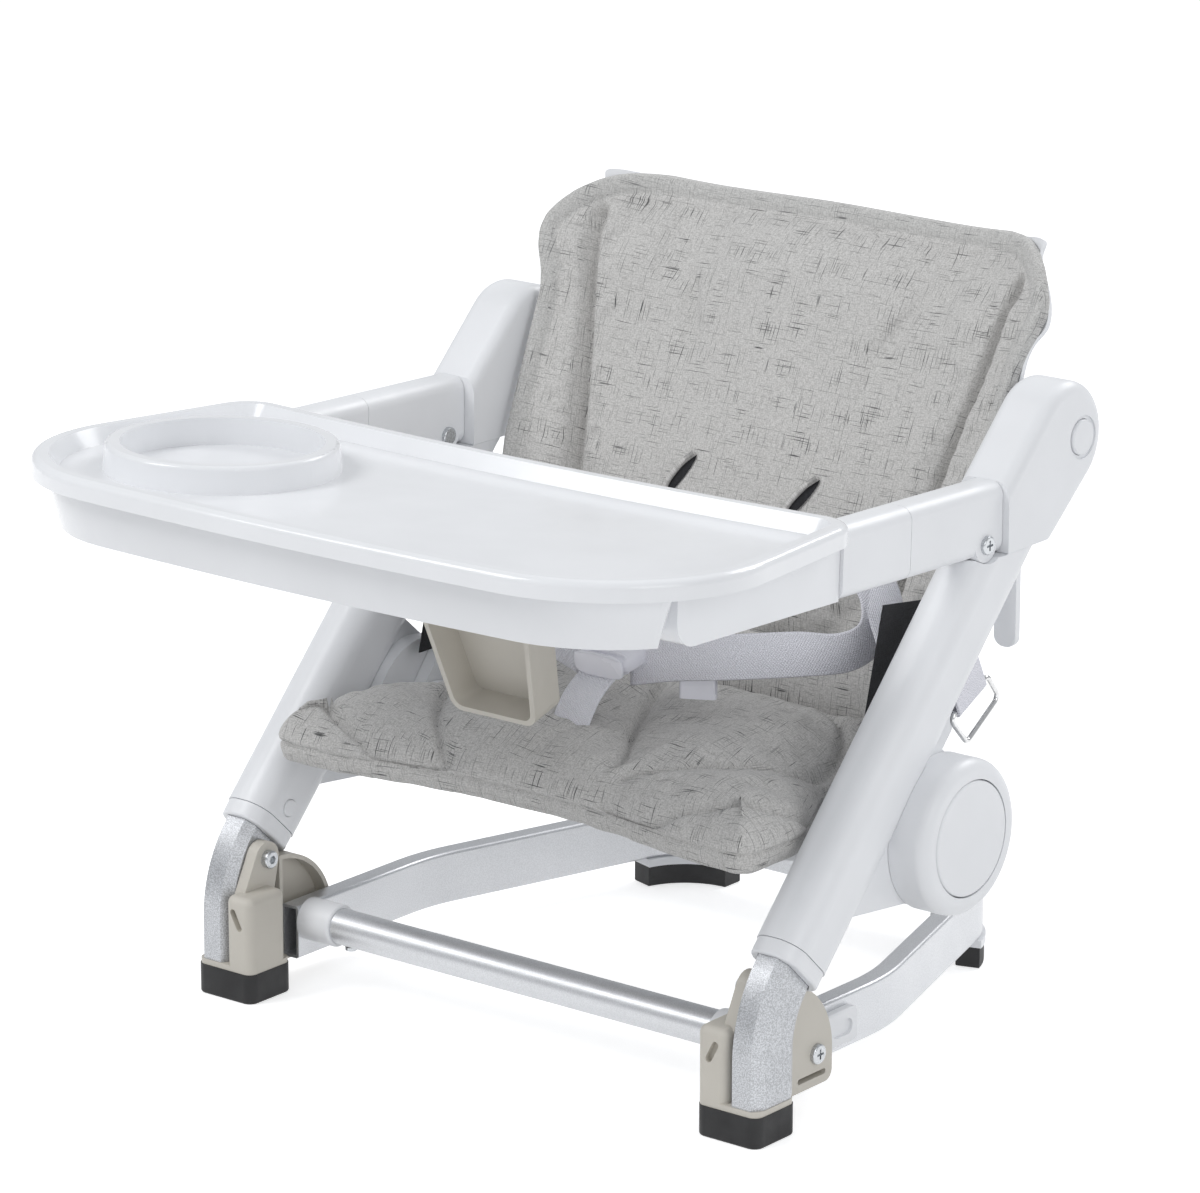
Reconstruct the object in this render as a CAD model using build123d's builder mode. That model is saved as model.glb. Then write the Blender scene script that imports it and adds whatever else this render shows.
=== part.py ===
from build123d import *
import os
from math import cos, radians, sin, tan

# Baby high chair of the folding booster kind. Millimetres. The chair faces -Y and +Z is up.
# Sizes below are measured from the floor, midway between the legs, at the front edge of the
# feet. The written pieces have their origin on the floor, under the middle of the whole chair.
# Left is the occupant's left, +X. Each left-hand piece is mirrored about the YZ plane.

# ---- fits and small details ----
RUN_GAP = 0.35          # sliding clearance between the legs and the seat unit
SEAM = 0.3              # gap at a visible seam between two mouldings
PIN_GAP = 0.05          # radial clearance of a hinge pin or shaft

CENTRE_Y = 93.9         # middle of the whole chair behind the front of the feet

# ---- legs ----
LEG_X = 181.0           # centre of each leg tube from the middle of the chair
LEG_Y = 18.0            # centre of the tube at the foot
LEG_SLOPE = 43.5        # backward lean of the legs from the vertical, degrees
LEG_CORNER_Z = 66.6     # height where the vertical and the slanted centre lines meet
LEG_BEND_R = 58.0
LEG_LENGTH = 254.0      # slanted centre line, from the corner to the top of the tube
TUBE_W = 20.0           # across the chair
TUBE_D = 35.0           # front to back
TUBE_WALL = 1.8
TUBE_FACET_X = 4.0      # bevel on the tube's corners
TUBE_FACET_Y = 6.5

# ---- feet ----
FOOT_CAP_H = 17.0
FOOT_PLATE_T = 3.0
FOOT_W = 39.0
FOOT_D = 33.5
BRACKET_W = 18.2        # block on the inner side of the tube
BRACKET_D = 30.0
BRACKET_TOP = 60.0
EAR_T = 7.0
EAR_Y = 27.0
EAR_Z = 75.0
EAR_R = 9.5
SCREW_R = 2.5

# ---- floor frame ----
BAR_T = 12.0
BAR_H = 30.0
BAR_BOTTOM = 16.5
BAR_X = 158.0           # centre of the side bars at the front
BAR_FRONT_Y = 38.5
BAR_BEND_Y = 152.0      # where the side bars turn inwards
BAR_TURN = 17.0         # inward turn of the side bars, degrees
BAR_REAR_Y = 325.0
BAR_WALL = 1.6
BEND_R = 120.0
REAR_CORNER_R = 44.0
FRAME_PIVOT_Y = 67.0
FRAME_PIVOT_Z = 30.5
PIVOT_R = 3.0
CHEEK_T = 6.0
CHEEK_FAN_R = 43.0
CROSSBAR_Y = 49.0
CROSSBAR_Z = 37.5
CROSSBAR_R = 10.0
COLLAR_RING_R = 11.8
COLLAR_RING_L = 22.0
PAD_H = 12.0
PAD_W = 14.0

# ---- sleeves and heads ----
SLEEVE_W = 31.0
SLEEVE_D = 43.0
SLEEVE_CORNER_R = 13.5
SLEEVE_START = 34.0     # along the slanted centre line, from the leg's corner
COLLAR_LENGTH = 9.0
SEAM_Z = 270.8          # the head stands on the sleeve here
HEAD_W = 32.0
HEAD_FRONT_Y = 206.0
HEAD_SHOULDER_Z = 308.5
HEAD_REAR_Y = 250.0
HEAD_END_Y = 262.5
HEAD_END_Z = 321.0
HEAD_END_R = 30.5
FLANGE_X = 168.0        # tongue that hangs from the head, behind the sleeve
FLANGE_W = 14.0
FLANGE_T = 4.0
FLANGE_DROP = 65.0
HEAD_BUTTON_Y = 273.0
HEAD_BUTTON_Z = 320.0
HEAD_BUTTON_R = 9.6
BUTTON_RING_R = 11.8
HEIGHT_BUTTON_S = 43.5  # along the slanted centre line
HEIGHT_BUTTON_R = 4.8
HEIGHT_STEP = 22.0      # spacing of the height holes in the leg
HEIGHT_STEPS = 5
BUTTON_GAP = 0.3
BUTTON_PROUD = 0.8      # the height button stands this far out of the sleeve
BUTTON_TRAVEL = 2.0

# ---- hubs ----
HUB_Y = 154.0
HUB_Z = 131.5
HUB_R = 42.0
HUB_INSET = 20.7        # from the leg's centre in to the carrier's inner face
HUB_SPLIT_X = 190.0
HUB_OUTER_X = 213.0
HUB_DISC_R = 31.0
HUB_PIN_R = 6.0
HUB_PIN_INNER_X = 141.0

# ---- arms and tray, in a frame tilted up at the front about the arm screws ----
ARM_TILT = 2.0
ARM_SCREW_Y = 191.5
ARM_SCREW_Z = 278.0
ARM_SCREW_H = 7.0       # above the arm's underside
ARM_X = 182.5
ARM_W = 21.0
ARM_H = 38.5
ARM_REAR_Y = 205.6
ARM_SPLIT_Y = 124.0
ARM_FRONT_Y = 65.5
ARM_ROUND = 7.0
RAIL_W = 11.0
RAIL_H = 19.5
RAIL_BASE = 3.2
SOCKET_WALL = 2.5
RAIL_FRONT_Y = -56.0
BOSS_R = 9.5

TRAY_FRONT_Y = -146.0
TRAY_FRONT_BOW = 12.0
TRAY_REAR_Y = 56.0
TRAY_REAR_BOW = 9.0
TRAY_FRONT_HALF_W = 236.5
TRAY_REAR_HALF_W = 204.5
TRAY_FRONT_CORNER_R = 90.0
TRAY_REAR_CORNER_R = 22.0
LIP_BOTTOM = 34.0       # heights above the arm's underside
RIM_TOP = 44.5
RIM_W = 9.0
LIP_OVERHANG = 8.0
DECK_Z = 31.2
DECK_T = 2.5
DISH_FLOOR = 36.5
DISH_DRAFT = 35.0
BODY_BOTTOM = 7.0
BODY_WALL = 3.0
BODY_DRAFT = 15.0
BODY_SIDE_X = 188.0     # sides of the skirt, beside the sockets
BODY_FLARE = 0.8        # outward slope of its sides, ahead of the sockets
BODY_CORNER_R = 8.0
SOCKET_FRONT_Y = -67.0
SOCKET_END_R = 14.0
CUP_X = -125.5
CUP_Y = -46.0
CUP_R = 53.5
CUP_RING_W = 9.0
CUP_RING_TOP = 51.0
CUP_FLOOR = 36.5

# ---- release handle, a hollow pull that also parts the child's legs ----
HANDLE_TOP_HALF = 43.5
HANDLE_BOTTOM_HALF = 28.0
HANDLE_LENGTH = 107.0
HANDLE_DEPTH = 21.0
HANDLE_LEAN = 17.0
HANDLE_WALL = 2.8
HANDLE_PIVOT_R = 3.0
HANDLE_PIVOT_Y = 3.0
HANDLE_PIVOT_H = 12.0
LUG_T = 4.0
LATCH_W = 12.0
LATCH_H = 8.0
LATCH_LENGTH = 26.0
LATCH_Y = 36.0
LATCH_Z = 13.0

# ---- seat ----
BACK_ARM_T = 7.8        # the back's arms run between the pan and the hubs
PAN_FRONT_Y = 95.0
PAN_REAR_Y = 206.0
PAN_BOTTOM = 118.5
PAN_TOP = 130.6
PAN_WALL = 3.0
CUSHION_TOP = 167.0
CUSHION_HALF_W = 163.0

# ---- backrest ----
BACK_LEAN = 24.0
BACK_FOOT_Y = 208.0     # front face of the shell at the reference height
BACK_FOOT_Z = 150.0
BACK_LENGTH = 286.0
BACK_FLAT_HALF = 118.0
BACK_WING_X = 176.0
BACK_WING_DEPTH = 35.0
BACK_SHELL_T = 3.5
BACK_CUSHION_T = 19.0
BACK_LOW_HALF_W = 150.0
BACK_MID_HALF_W = 162.5
BACK_TOP_HALF_W = 174.0
BACK_LOW = 30.0
BACK_FLARE_L = 212.0    # the back widens above this, clear of the heads
BACK_ARM_R = 16.0

# ---- harness and anchor straps ----
WEB_W = 25.0
WEB_T = 1.6
BUCKLE_Y = 112.0
BUCKLE_Z = 190.0
BUCKLE_W = 36.0
BUCKLE_L = 40.0
BUCKLE_T = 12.0
BUCKLE_LEAN = 12.0
STRAP_TAIL_X = 139.5
STRAP_TAIL_Y = 126.0
STRAP_BASE_Z = 186.0
RING_WIRE_R = 1.5
RING_X = 187.0
ANCHOR_W = 26.0
ANCHOR_REACH = 26.0

os.makedirs("parts", exist_ok=True)


def finish(builder, name):
    """Label a finished piece and write its STEP file, with the origin under the chair's centre."""
    placed = builder.part.moved(Location((0, -CENTRE_Y, 0)))
    placed.label = name
    export_step(placed, f"parts/{name}.step")


def finish_pair(left, name):
    """Write a left-hand piece and its mirror image."""
    finish(left, name + "_left")
    with BuildPart() as right:
        mirror(left.part, about=Plane.YZ)
    finish(right, name + "_right")


def finish_mirrored_group(left, name):
    """Write a left-hand piece and its mirror image as one node of separate solids."""
    with BuildPart() as both:
        add(left.part)
        mirror(left.part, about=Plane.YZ)
    finish(both, name)


# ---- reference frames ----
hub_inner_x = LEG_X - HUB_INSET
back_arm_x = hub_inner_x - RUN_GAP - BACK_ARM_T
pan_half_w = back_arm_x - RUN_GAP
lean_sin = sin(radians(LEG_SLOPE))
lean_cos = cos(radians(LEG_SLOPE))
leg_corner = (LEG_X, LEG_Y, LEG_CORNER_Z)
leg_frame = Plane(origin=leg_corner, x_dir=(1, 0, 0), z_dir=(0, lean_sin, lean_cos))
leg_axis = Axis(leg_corner, (0, lean_sin, lean_cos))

tilt_sin = sin(radians(ARM_TILT))
tilt_cos = cos(radians(ARM_TILT))
arm_origin_y = ARM_SCREW_Y * (1 - tilt_cos) - ARM_SCREW_H * tilt_sin
arm_origin_z = ARM_SCREW_Z + ARM_SCREW_Y * tilt_sin - ARM_SCREW_H * tilt_cos
tray_frame = Plane(origin=(0, arm_origin_y, arm_origin_z), x_dir=(1, 0, 0),
                   z_dir=(0, tilt_sin, tilt_cos))


tray_up = Axis((0, 0, 0), (0, tilt_sin, tilt_cos))

with BuildSketch() as rim_plan:
    with BuildLine():
        front_y = TRAY_FRONT_Y + TRAY_FRONT_BOW
        rear_y = TRAY_REAR_Y + TRAY_REAR_BOW
        ThreePointArc((-TRAY_FRONT_HALF_W, front_y), (0, TRAY_FRONT_Y),
                      (TRAY_FRONT_HALF_W, front_y))
        Line((TRAY_FRONT_HALF_W, front_y), (TRAY_REAR_HALF_W, rear_y))
        ThreePointArc((TRAY_REAR_HALF_W, rear_y), (0, TRAY_REAR_Y), (-TRAY_REAR_HALF_W, rear_y))
        Line((-TRAY_REAR_HALF_W, rear_y), (-TRAY_FRONT_HALF_W, front_y))
    make_face()
    fillet(rim_plan.vertices().group_by(Axis.Y)[0], TRAY_FRONT_CORNER_R)
    fillet(rim_plan.vertices().group_by(Axis.Y)[-1], TRAY_REAR_CORNER_R)

with BuildSketch() as body_plan:
    add(rim_plan.sketch)
    offset(amount=-LIP_OVERHANG)
    flare_y = SOCKET_FRONT_Y - TRAY_FRONT_HALF_W
    flare_x = BODY_SIDE_X + BODY_FLARE * TRAY_FRONT_HALF_W
    Polygon((BODY_SIDE_X, ARM_SPLIT_Y), (BODY_SIDE_X, SOCKET_FRONT_Y), (flare_x, flare_y),
            (-flare_x, flare_y), (-BODY_SIDE_X, SOCKET_FRONT_Y), (-BODY_SIDE_X, ARM_SPLIT_Y),
            align=None, mode=Mode.INTERSECT)
    flanks = body_plan.vertices().filter_by(lambda v: v.Y < SOCKET_FRONT_Y / 2)
    fillet(flanks.filter_by(lambda v: abs(v.X) > BODY_SIDE_X - 1), BODY_CORNER_R)


def leg_point(along, behind=0.0):
    """(y, z) of a point on the slanted leg: along its centre line, then behind it."""
    return (LEG_Y + along * lean_sin + behind * lean_cos,
            LEG_CORNER_Z + along * lean_cos - behind * lean_sin)


def arm_side(x):
    """Plane normal to X in the arms' frame: its axes run rearwards and up."""
    return Plane(origin=(x, arm_origin_y, arm_origin_z), x_dir=(0, tilt_cos, -tilt_sin),
                 z_dir=(1, 0, 0))


# ---- leg tubes ----
tube_bottom = FOOT_CAP_H + FOOT_PLATE_T


def tube_section(grow=0.0):
    """Bevelled oblong section of the leg, on the current sketch."""
    half_w = TUBE_W / 2 + grow
    half_d = TUBE_D / 2 + grow
    Polygon((half_w, half_d - TUBE_FACET_Y), (half_w - TUBE_FACET_X, half_d),
            (TUBE_FACET_X - half_w, half_d), (-half_w, half_d - TUBE_FACET_Y),
            (-half_w, TUBE_FACET_Y - half_d), (TUBE_FACET_X - half_w, -half_d),
            (half_w - TUBE_FACET_X, -half_d), (half_w, TUBE_FACET_Y - half_d), align=None)


def leg_path():
    """Centre line of the leg, from the foot to the top, in the plane of the leg."""
    top = leg_point(LEG_LENGTH)
    with BuildLine(Plane.YZ.offset(LEG_X)) as path:
        FilletPolyline((LEG_Y, tube_bottom), (LEG_Y, LEG_CORNER_Z), top, radius=LEG_BEND_R)
    return path.line


with BuildPart() as leg_tube:
    with BuildSketch(Plane((LEG_X, LEG_Y, tube_bottom))):
        tube_section()
        offset(amount=-TUBE_WALL, kind=Kind.INTERSECTION, mode=Mode.SUBTRACT)
    sweep(path=leg_path())
    hole_spots = [leg_point(HEIGHT_BUTTON_S + HEIGHT_STEP * n) for n in range(HEIGHT_STEPS)]
    with BuildSketch(Plane.YZ.offset(LEG_X - TUBE_W / 2 - 1)):
        with Locations(*hole_spots):
            Circle(HEIGHT_BUTTON_R + BUTTON_GAP)
        with Locations((EAR_Y, EAR_Z)):
            Circle(SCREW_R + PIN_GAP)
    extrude(amount=TUBE_WALL + 2, mode=Mode.SUBTRACT)
finish_pair(leg_tube, "leg_tube")

with BuildPart() as leg_envelope:
    with BuildSketch(Plane((LEG_X, LEG_Y, tube_bottom))):
        tube_section(RUN_GAP)
    sweep(path=leg_path())

with BuildPart() as leg_top_plug:
    with BuildSketch(leg_frame.offset(LEG_LENGTH)):
        tube_section()
    extrude(amount=2.5)
    with BuildSketch(leg_frame.offset(LEG_LENGTH)):
        tube_section(-TUBE_WALL - 0.2)
    extrude(amount=-12)
finish_mirrored_group(leg_top_plug, "leg_top_plugs")

# ---- feet ----
foot_outer_x = LEG_X + TUBE_W / 2 + 0.5
foot_inner_x = foot_outer_x - FOOT_W
foot_front_y = LEG_Y - TUBE_D / 2 - 0.8
foot_centre = (foot_outer_x - FOOT_W / 2, foot_front_y + FOOT_D / 2)

with BuildPart() as foot_cap:
    with BuildSketch():
        with Locations(foot_centre):
            RectangleRounded(FOOT_W + 1, FOOT_D + 1, 6)
    extrude(amount=FOOT_CAP_H)
    fillet(foot_cap.faces().sort_by(Axis.Z)[0].edges(), 1.5)
finish_pair(foot_cap, "foot_cap")

block_centre = (foot_inner_x + BRACKET_W / 2, foot_front_y + BRACKET_D / 2)
ear_face_x = LEG_X - TUBE_W / 2 - SEAM - EAR_T

with BuildPart() as foot_bracket:
    with BuildSketch(Plane.XY.offset(FOOT_CAP_H)):
        with Locations(foot_centre):
            RectangleRounded(FOOT_W, FOOT_D, 5.5)
    extrude(amount=FOOT_PLATE_T)
    with BuildSketch(Plane.XY.offset(FOOT_CAP_H)):
        with Locations(block_centre):
            RectangleRounded(BRACKET_W, BRACKET_D, 5)
    extrude(amount=BRACKET_TOP - FOOT_CAP_H)
    top_edges = foot_bracket.faces().sort_by(Axis.Z)[-1].edges()
    fillet(top_edges, 4.5)
    with BuildSketch(Plane.YZ.offset(ear_face_x)):
        with BuildLine():
            CenterArc((EAR_Y, EAR_Z), EAR_R, 0, 360)
            Polyline((foot_front_y + 5, 40), (foot_front_y + BRACKET_D - 1, 40),
                     (foot_front_y + BRACKET_D - 1, 52), (foot_front_y + 5, 52), close=True)
        make_hull()
    extrude(amount=EAR_T)
    with BuildSketch(Plane.YZ.offset(ear_face_x - 1)):
        with Locations((EAR_Y, EAR_Z)):
            Circle(SCREW_R + PIN_GAP)
    extrude(amount=EAR_T + 2, mode=Mode.SUBTRACT)
    with BuildSketch(Plane.XZ.offset(-foot_front_y - 3.5)):
        with Locations((foot_inner_x + BRACKET_W / 2 + 1, BRACKET_TOP - 13)):
            SlotOverall(13, 4, rotation=62)
    extrude(amount=8, mode=Mode.SUBTRACT)
finish_pair(foot_bracket, "foot_bracket")

with BuildPart() as bracket_screw:
    with BuildSketch(Plane.YZ.offset(ear_face_x)):
        with Locations((EAR_Y, EAR_Z)):
            Circle(5)
    extrude(amount=-4)
    fillet(bracket_screw.faces().sort_by(Axis.X)[0].edges(), 1)
    with BuildSketch(Plane.YZ.offset(ear_face_x - 4)):
        with Locations((EAR_Y, EAR_Z)):
            RegularPolygon(2.5, 6)
    extrude(amount=2.5, mode=Mode.SUBTRACT)
    with BuildSketch(Plane.YZ.offset(ear_face_x)):
        with Locations((EAR_Y, EAR_Z)):
            Circle(SCREW_R)
    extrude(amount=EAR_T + SEAM + TUBE_WALL)
finish_mirrored_group(bracket_screw, "bracket_screws")

with BuildPart() as collar_envelope:
    with BuildSketch(leg_frame.offset(SLEEVE_START - COLLAR_LENGTH - 2 * SEAM)):
        RectangleRounded(SLEEVE_W + 1, SLEEVE_D + 1, SLEEVE_CORNER_R)
    extrude(amount=3 * COLLAR_LENGTH)

# The outer cheek stands behind the tube, beside the frame's front end, and carries its pivot.
bar_outer_x = BAR_X + BAR_T / 2
cheek_inner_x = bar_outer_x + 9.0
cheek_outer_x = cheek_inner_x + CHEEK_T
cheek_front_y = LEG_Y + TUBE_D / 2 + 1.5
fan_centre = (cheek_front_y + 0.5, FRAME_PIVOT_Z)


def cheek_outline():
    """Quarter fan with a square lower rear corner, on the current sketch."""
    Circle(CHEEK_FAN_R)
    Rectangle(CHEEK_FAN_R, FRAME_PIVOT_Z - 13, align=(Align.MIN, Align.MAX))
    with Locations((-CHEEK_FAN_R, 0)):
        Rectangle(2 * CHEEK_FAN_R, 3 * CHEEK_FAN_R, align=(Align.CENTER, Align.CENTER),
                  mode=Mode.SUBTRACT)
    with Locations((0, 13 - FRAME_PIVOT_Z)):
        Rectangle(3 * CHEEK_FAN_R, 2 * CHEEK_FAN_R, align=(Align.CENTER, Align.MAX),
                  mode=Mode.SUBTRACT)


with BuildPart() as hinge_cheek:
    with BuildSketch(Plane.YZ.offset(cheek_inner_x)) as fan:
        with Locations(fan_centre):
            cheek_outline()
        fillet(fan.vertices().group_by(Axis.X)[-1].sort_by(Axis.Y)[0], 6)
    extrude(amount=CHEEK_T)
    with BuildSketch(Plane.YZ.offset(bar_outer_x + SEAM)) as fan_rim:
        with Locations(fan_centre):
            cheek_outline()
        fillet(fan_rim.vertices().group_by(Axis.X)[-1].sort_by(Axis.Y)[0], 6)
        offset(amount=-2.5, kind=Kind.INTERSECTION, mode=Mode.SUBTRACT)
    extrude(amount=cheek_inner_x - bar_outer_x - SEAM)
    with BuildSketch(Plane.YZ.offset(bar_outer_x + SEAM)):
        with Locations((FRAME_PIVOT_Y, FRAME_PIVOT_Z)):
            Circle(8)
    extrude(amount=cheek_inner_x - bar_outer_x)
    with BuildSketch(Plane.YZ.offset(bar_outer_x)):
        with Locations((FRAME_PIVOT_Y, FRAME_PIVOT_Z)):
            Circle(PIVOT_R + PIN_GAP)
    extrude(amount=cheek_outer_x, mode=Mode.SUBTRACT)
    with BuildSketch(Plane.YZ.offset(cheek_inner_x - 1)):
        with Locations((FRAME_PIVOT_Y - 4, FRAME_PIVOT_Z - 11.5)):
            SlotOverall(24, 3)
    extrude(amount=CHEEK_T + 2, mode=Mode.SUBTRACT)
    add(leg_envelope.part, mode=Mode.SUBTRACT)
    add(collar_envelope.part, mode=Mode.SUBTRACT)
finish_pair(hinge_cheek, "hinge_cheek")

with BuildPart() as pivot_screw:
    with BuildSketch(Plane.YZ.offset(cheek_outer_x)):
        with Locations((FRAME_PIVOT_Y, FRAME_PIVOT_Z)):
            Circle(5.5)
    extrude(amount=2.6)
    fillet(pivot_screw.faces().sort_by(Axis.X)[-1].edges(), 1.2)
    with BuildSketch(Plane.YZ.offset(cheek_outer_x + 2.6)):
        with Locations((FRAME_PIVOT_Y, FRAME_PIVOT_Z)):
            Rectangle(5.5, 1.2)
            Rectangle(1.2, 5.5)
    extrude(amount=-1.4, mode=Mode.SUBTRACT)
    with BuildSketch(Plane.YZ.offset(cheek_outer_x)):
        with Locations((FRAME_PIVOT_Y, FRAME_PIVOT_Z)):
            Circle(PIVOT_R)
    extrude(amount=-(cheek_outer_x - BAR_X + BAR_T / 2 - 0.5))
finish_mirrored_group(pivot_screw, "frame_pivot_screws")

# ---- floor frame ----
bar_mid_z = BAR_BOTTOM + BAR_H / 2
rear_corner_x = BAR_X - (BAR_REAR_Y - BAR_BEND_Y) * tan(radians(BAR_TURN))

with BuildPart() as frame_tube:
    with BuildLine(Plane.XY.offset(bar_mid_z)) as frame_path:
        FilletPolyline((BAR_X, BAR_FRONT_Y), (BAR_X, BAR_BEND_Y), (rear_corner_x, BAR_REAR_Y),
                       (-rear_corner_x, BAR_REAR_Y), (-BAR_X, BAR_BEND_Y), (-BAR_X, BAR_FRONT_Y),
                       radius=[BEND_R, REAR_CORNER_R, REAR_CORNER_R, BEND_R])
    with BuildSketch(Plane(origin=(BAR_X, BAR_FRONT_Y, bar_mid_z), x_dir=(1, 0, 0),
                           z_dir=(0, 1, 0))):
        RectangleRounded(BAR_T, BAR_H, 2)
        offset(amount=-BAR_WALL, mode=Mode.SUBTRACT)
    sweep(path=frame_path.line)
    with BuildSketch(Plane.YZ.offset(-BAR_X - BAR_T)):
        with Locations((FRAME_PIVOT_Y, FRAME_PIVOT_Z)):
            Circle(PIVOT_R + PIN_GAP)
    extrude(amount=2 * (BAR_X + BAR_T), mode=Mode.SUBTRACT)
finish(frame_tube, "frame_tube")

bar_inner_x = BAR_X - BAR_T / 2
with BuildPart() as crossbar:
    with BuildSketch(Plane.YZ.offset(-bar_inner_x)):
        with Locations((CROSSBAR_Y, CROSSBAR_Z)):
            Circle(CROSSBAR_R)
            Circle(CROSSBAR_R - 1.5, mode=Mode.SUBTRACT)
    extrude(amount=2 * bar_inner_x)
finish(crossbar, "crossbar")

with BuildPart() as crossbar_collar:
    with BuildSketch(Plane.YZ.offset(bar_inner_x - COLLAR_RING_L)):
        with Locations((CROSSBAR_Y, CROSSBAR_Z)):
            Circle(COLLAR_RING_R)
            Circle(CROSSBAR_R + PIN_GAP, mode=Mode.SUBTRACT)
    extrude(amount=COLLAR_RING_L)
    fillet(crossbar_collar.faces().sort_by(Axis.X)[0].edges().sort_by(SortBy.LENGTH)[-1], 1.5)
finish_mirrored_group(crossbar_collar, "crossbar_collars")

with BuildPart() as crossbar_screw:
    with BuildSketch(Plane.XY.offset(CROSSBAR_Z - CROSSBAR_R)):
        with Locations((bar_inner_x - COLLAR_RING_L - 7, CROSSBAR_Y)):
            Circle(3.4)
    extrude(amount=-2.2)
    fillet(crossbar_screw.faces().sort_by(Axis.Z)[0].edges(), 0.8)
finish_mirrored_group(crossbar_screw, "crossbar_screws")

with BuildPart() as lock_block:
    with BuildSketch(Plane.YZ.offset(bar_outer_x)):
        with Locations((FRAME_PIVOT_Y + 36, bar_mid_z)):
            RectangleRounded(29, 19, 4)
    extrude(amount=5)
    fillet(lock_block.faces().sort_by(Axis.X)[-1].edges(), 1.5)
    with BuildSketch(Plane.YZ.offset(bar_outer_x + 5)):
        with Locations((FRAME_PIVOT_Y + 36, bar_mid_z)):
            SlotOverall(18, 9)
    extrude(amount=-2, mode=Mode.SUBTRACT)
finish_mirrored_group(lock_block, "lock_blocks")

# The rear pads follow the rounded rear corners of the frame.
def corner_strip(base, width, height):
    """Upright strip along the frame's left rear corner, standing at a height above the floor."""
    corners = frame_path.edges().filter_by(GeomType.CIRCLE).group_by(Axis.Y)[-1]
    path = corners.sort_by(Axis.X)[-1].moved(Location((0, 0, base - bar_mid_z)))
    start = Plane(origin=path @ 0, x_dir=(0, 0, 1), z_dir=path % 0)
    with BuildSketch(start) as section:
        Rectangle(height, width, align=(Align.MIN, Align.CENTER))
    sweep(section.sketch, path=path)


with BuildPart() as rear_pad:
    corner_strip(0, PAD_W, PAD_H)
    fillet(rear_pad.faces().sort_by(Axis.Z)[0].edges(), 1.2)
finish_mirrored_group(rear_pad, "rear_pads")

with BuildPart() as pad_carrier:
    corner_strip(PAD_H, PAD_W + 1.5, BAR_BOTTOM - PAD_H)
finish_mirrored_group(pad_carrier, "pad_carriers")

# ---- sleeves ----
sleeve_reach = (SEAM_Z - LEG_CORNER_Z) / lean_cos + SLEEVE_D


def sleeve_section():
    """Outer section of the sleeve, on the current sketch."""
    RectangleRounded(SLEEVE_W, SLEEVE_D, SLEEVE_CORNER_R)


with BuildPart() as sleeve_envelope:
    with BuildSketch(leg_frame.offset(SLEEVE_START)):
        sleeve_section()
        offset(amount=0.1)
    extrude(amount=sleeve_reach)

with BuildPart() as sleeve:
    with BuildSketch(leg_frame.offset(SLEEVE_START)):
        sleeve_section()
    extrude(amount=sleeve_reach)
    split(bisect_by=Plane.XY.offset(SEAM_Z - SEAM), keep=Keep.BOTTOM)
    with BuildSketch(leg_frame.offset(SLEEVE_START)):
        tube_section(RUN_GAP)
    extrude(amount=LEG_LENGTH - SLEEVE_START + 4, mode=Mode.SUBTRACT)
    with BuildSketch(Plane.YZ.offset(LEG_X - SLEEVE_W / 2 - 1)):
        with Locations(leg_point(HEIGHT_BUTTON_S)):
            Circle(HEIGHT_BUTTON_R + BUTTON_GAP)
    extrude(amount=SLEEVE_W / 2, mode=Mode.SUBTRACT)
    with BuildSketch(arm_side(LEG_X - SLEEVE_W)):
        with Locations((HEAD_FRONT_Y, -SEAM)):
            Rectangle(60, 20, align=(Align.MAX, Align.MIN))
        with Locations((ARM_SCREW_Y, ARM_SCREW_H)):
            Circle(BOSS_R + SEAM)
    extrude(amount=2 * SLEEVE_W, mode=Mode.SUBTRACT)
finish_pair(sleeve, "sleeve")

with BuildPart() as sleeve_collar:
    with BuildSketch(leg_frame.offset(SLEEVE_START - SEAM)):
        sleeve_section()
        offset(amount=-0.6)
        tube_section(RUN_GAP)
    extrude(amount=-COLLAR_LENGTH)
    fillet(sleeve_collar.faces().sort_by(leg_axis)[0].edges(), 1.5)
    with BuildSketch(leg_frame.offset(SLEEVE_START)):
        tube_section(RUN_GAP)
    extrude(amount=-COLLAR_LENGTH - 1, mode=Mode.SUBTRACT)
finish_pair(sleeve_collar, "sleeve_collar")

with BuildPart() as height_button:
    with BuildSketch(Plane.YZ.offset(LEG_X - SLEEVE_W / 2 - BUTTON_PROUD)):
        with Locations(leg_point(HEIGHT_BUTTON_S)):
            Circle(HEIGHT_BUTTON_R)
    extrude(amount=(SLEEVE_W - TUBE_W) / 2 + BUTTON_PROUD - BUTTON_TRAVEL - RUN_GAP)
    fillet(height_button.faces().sort_by(Axis.X)[0].edges(), 0.8)
finish_pair(height_button, "height_button")

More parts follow.
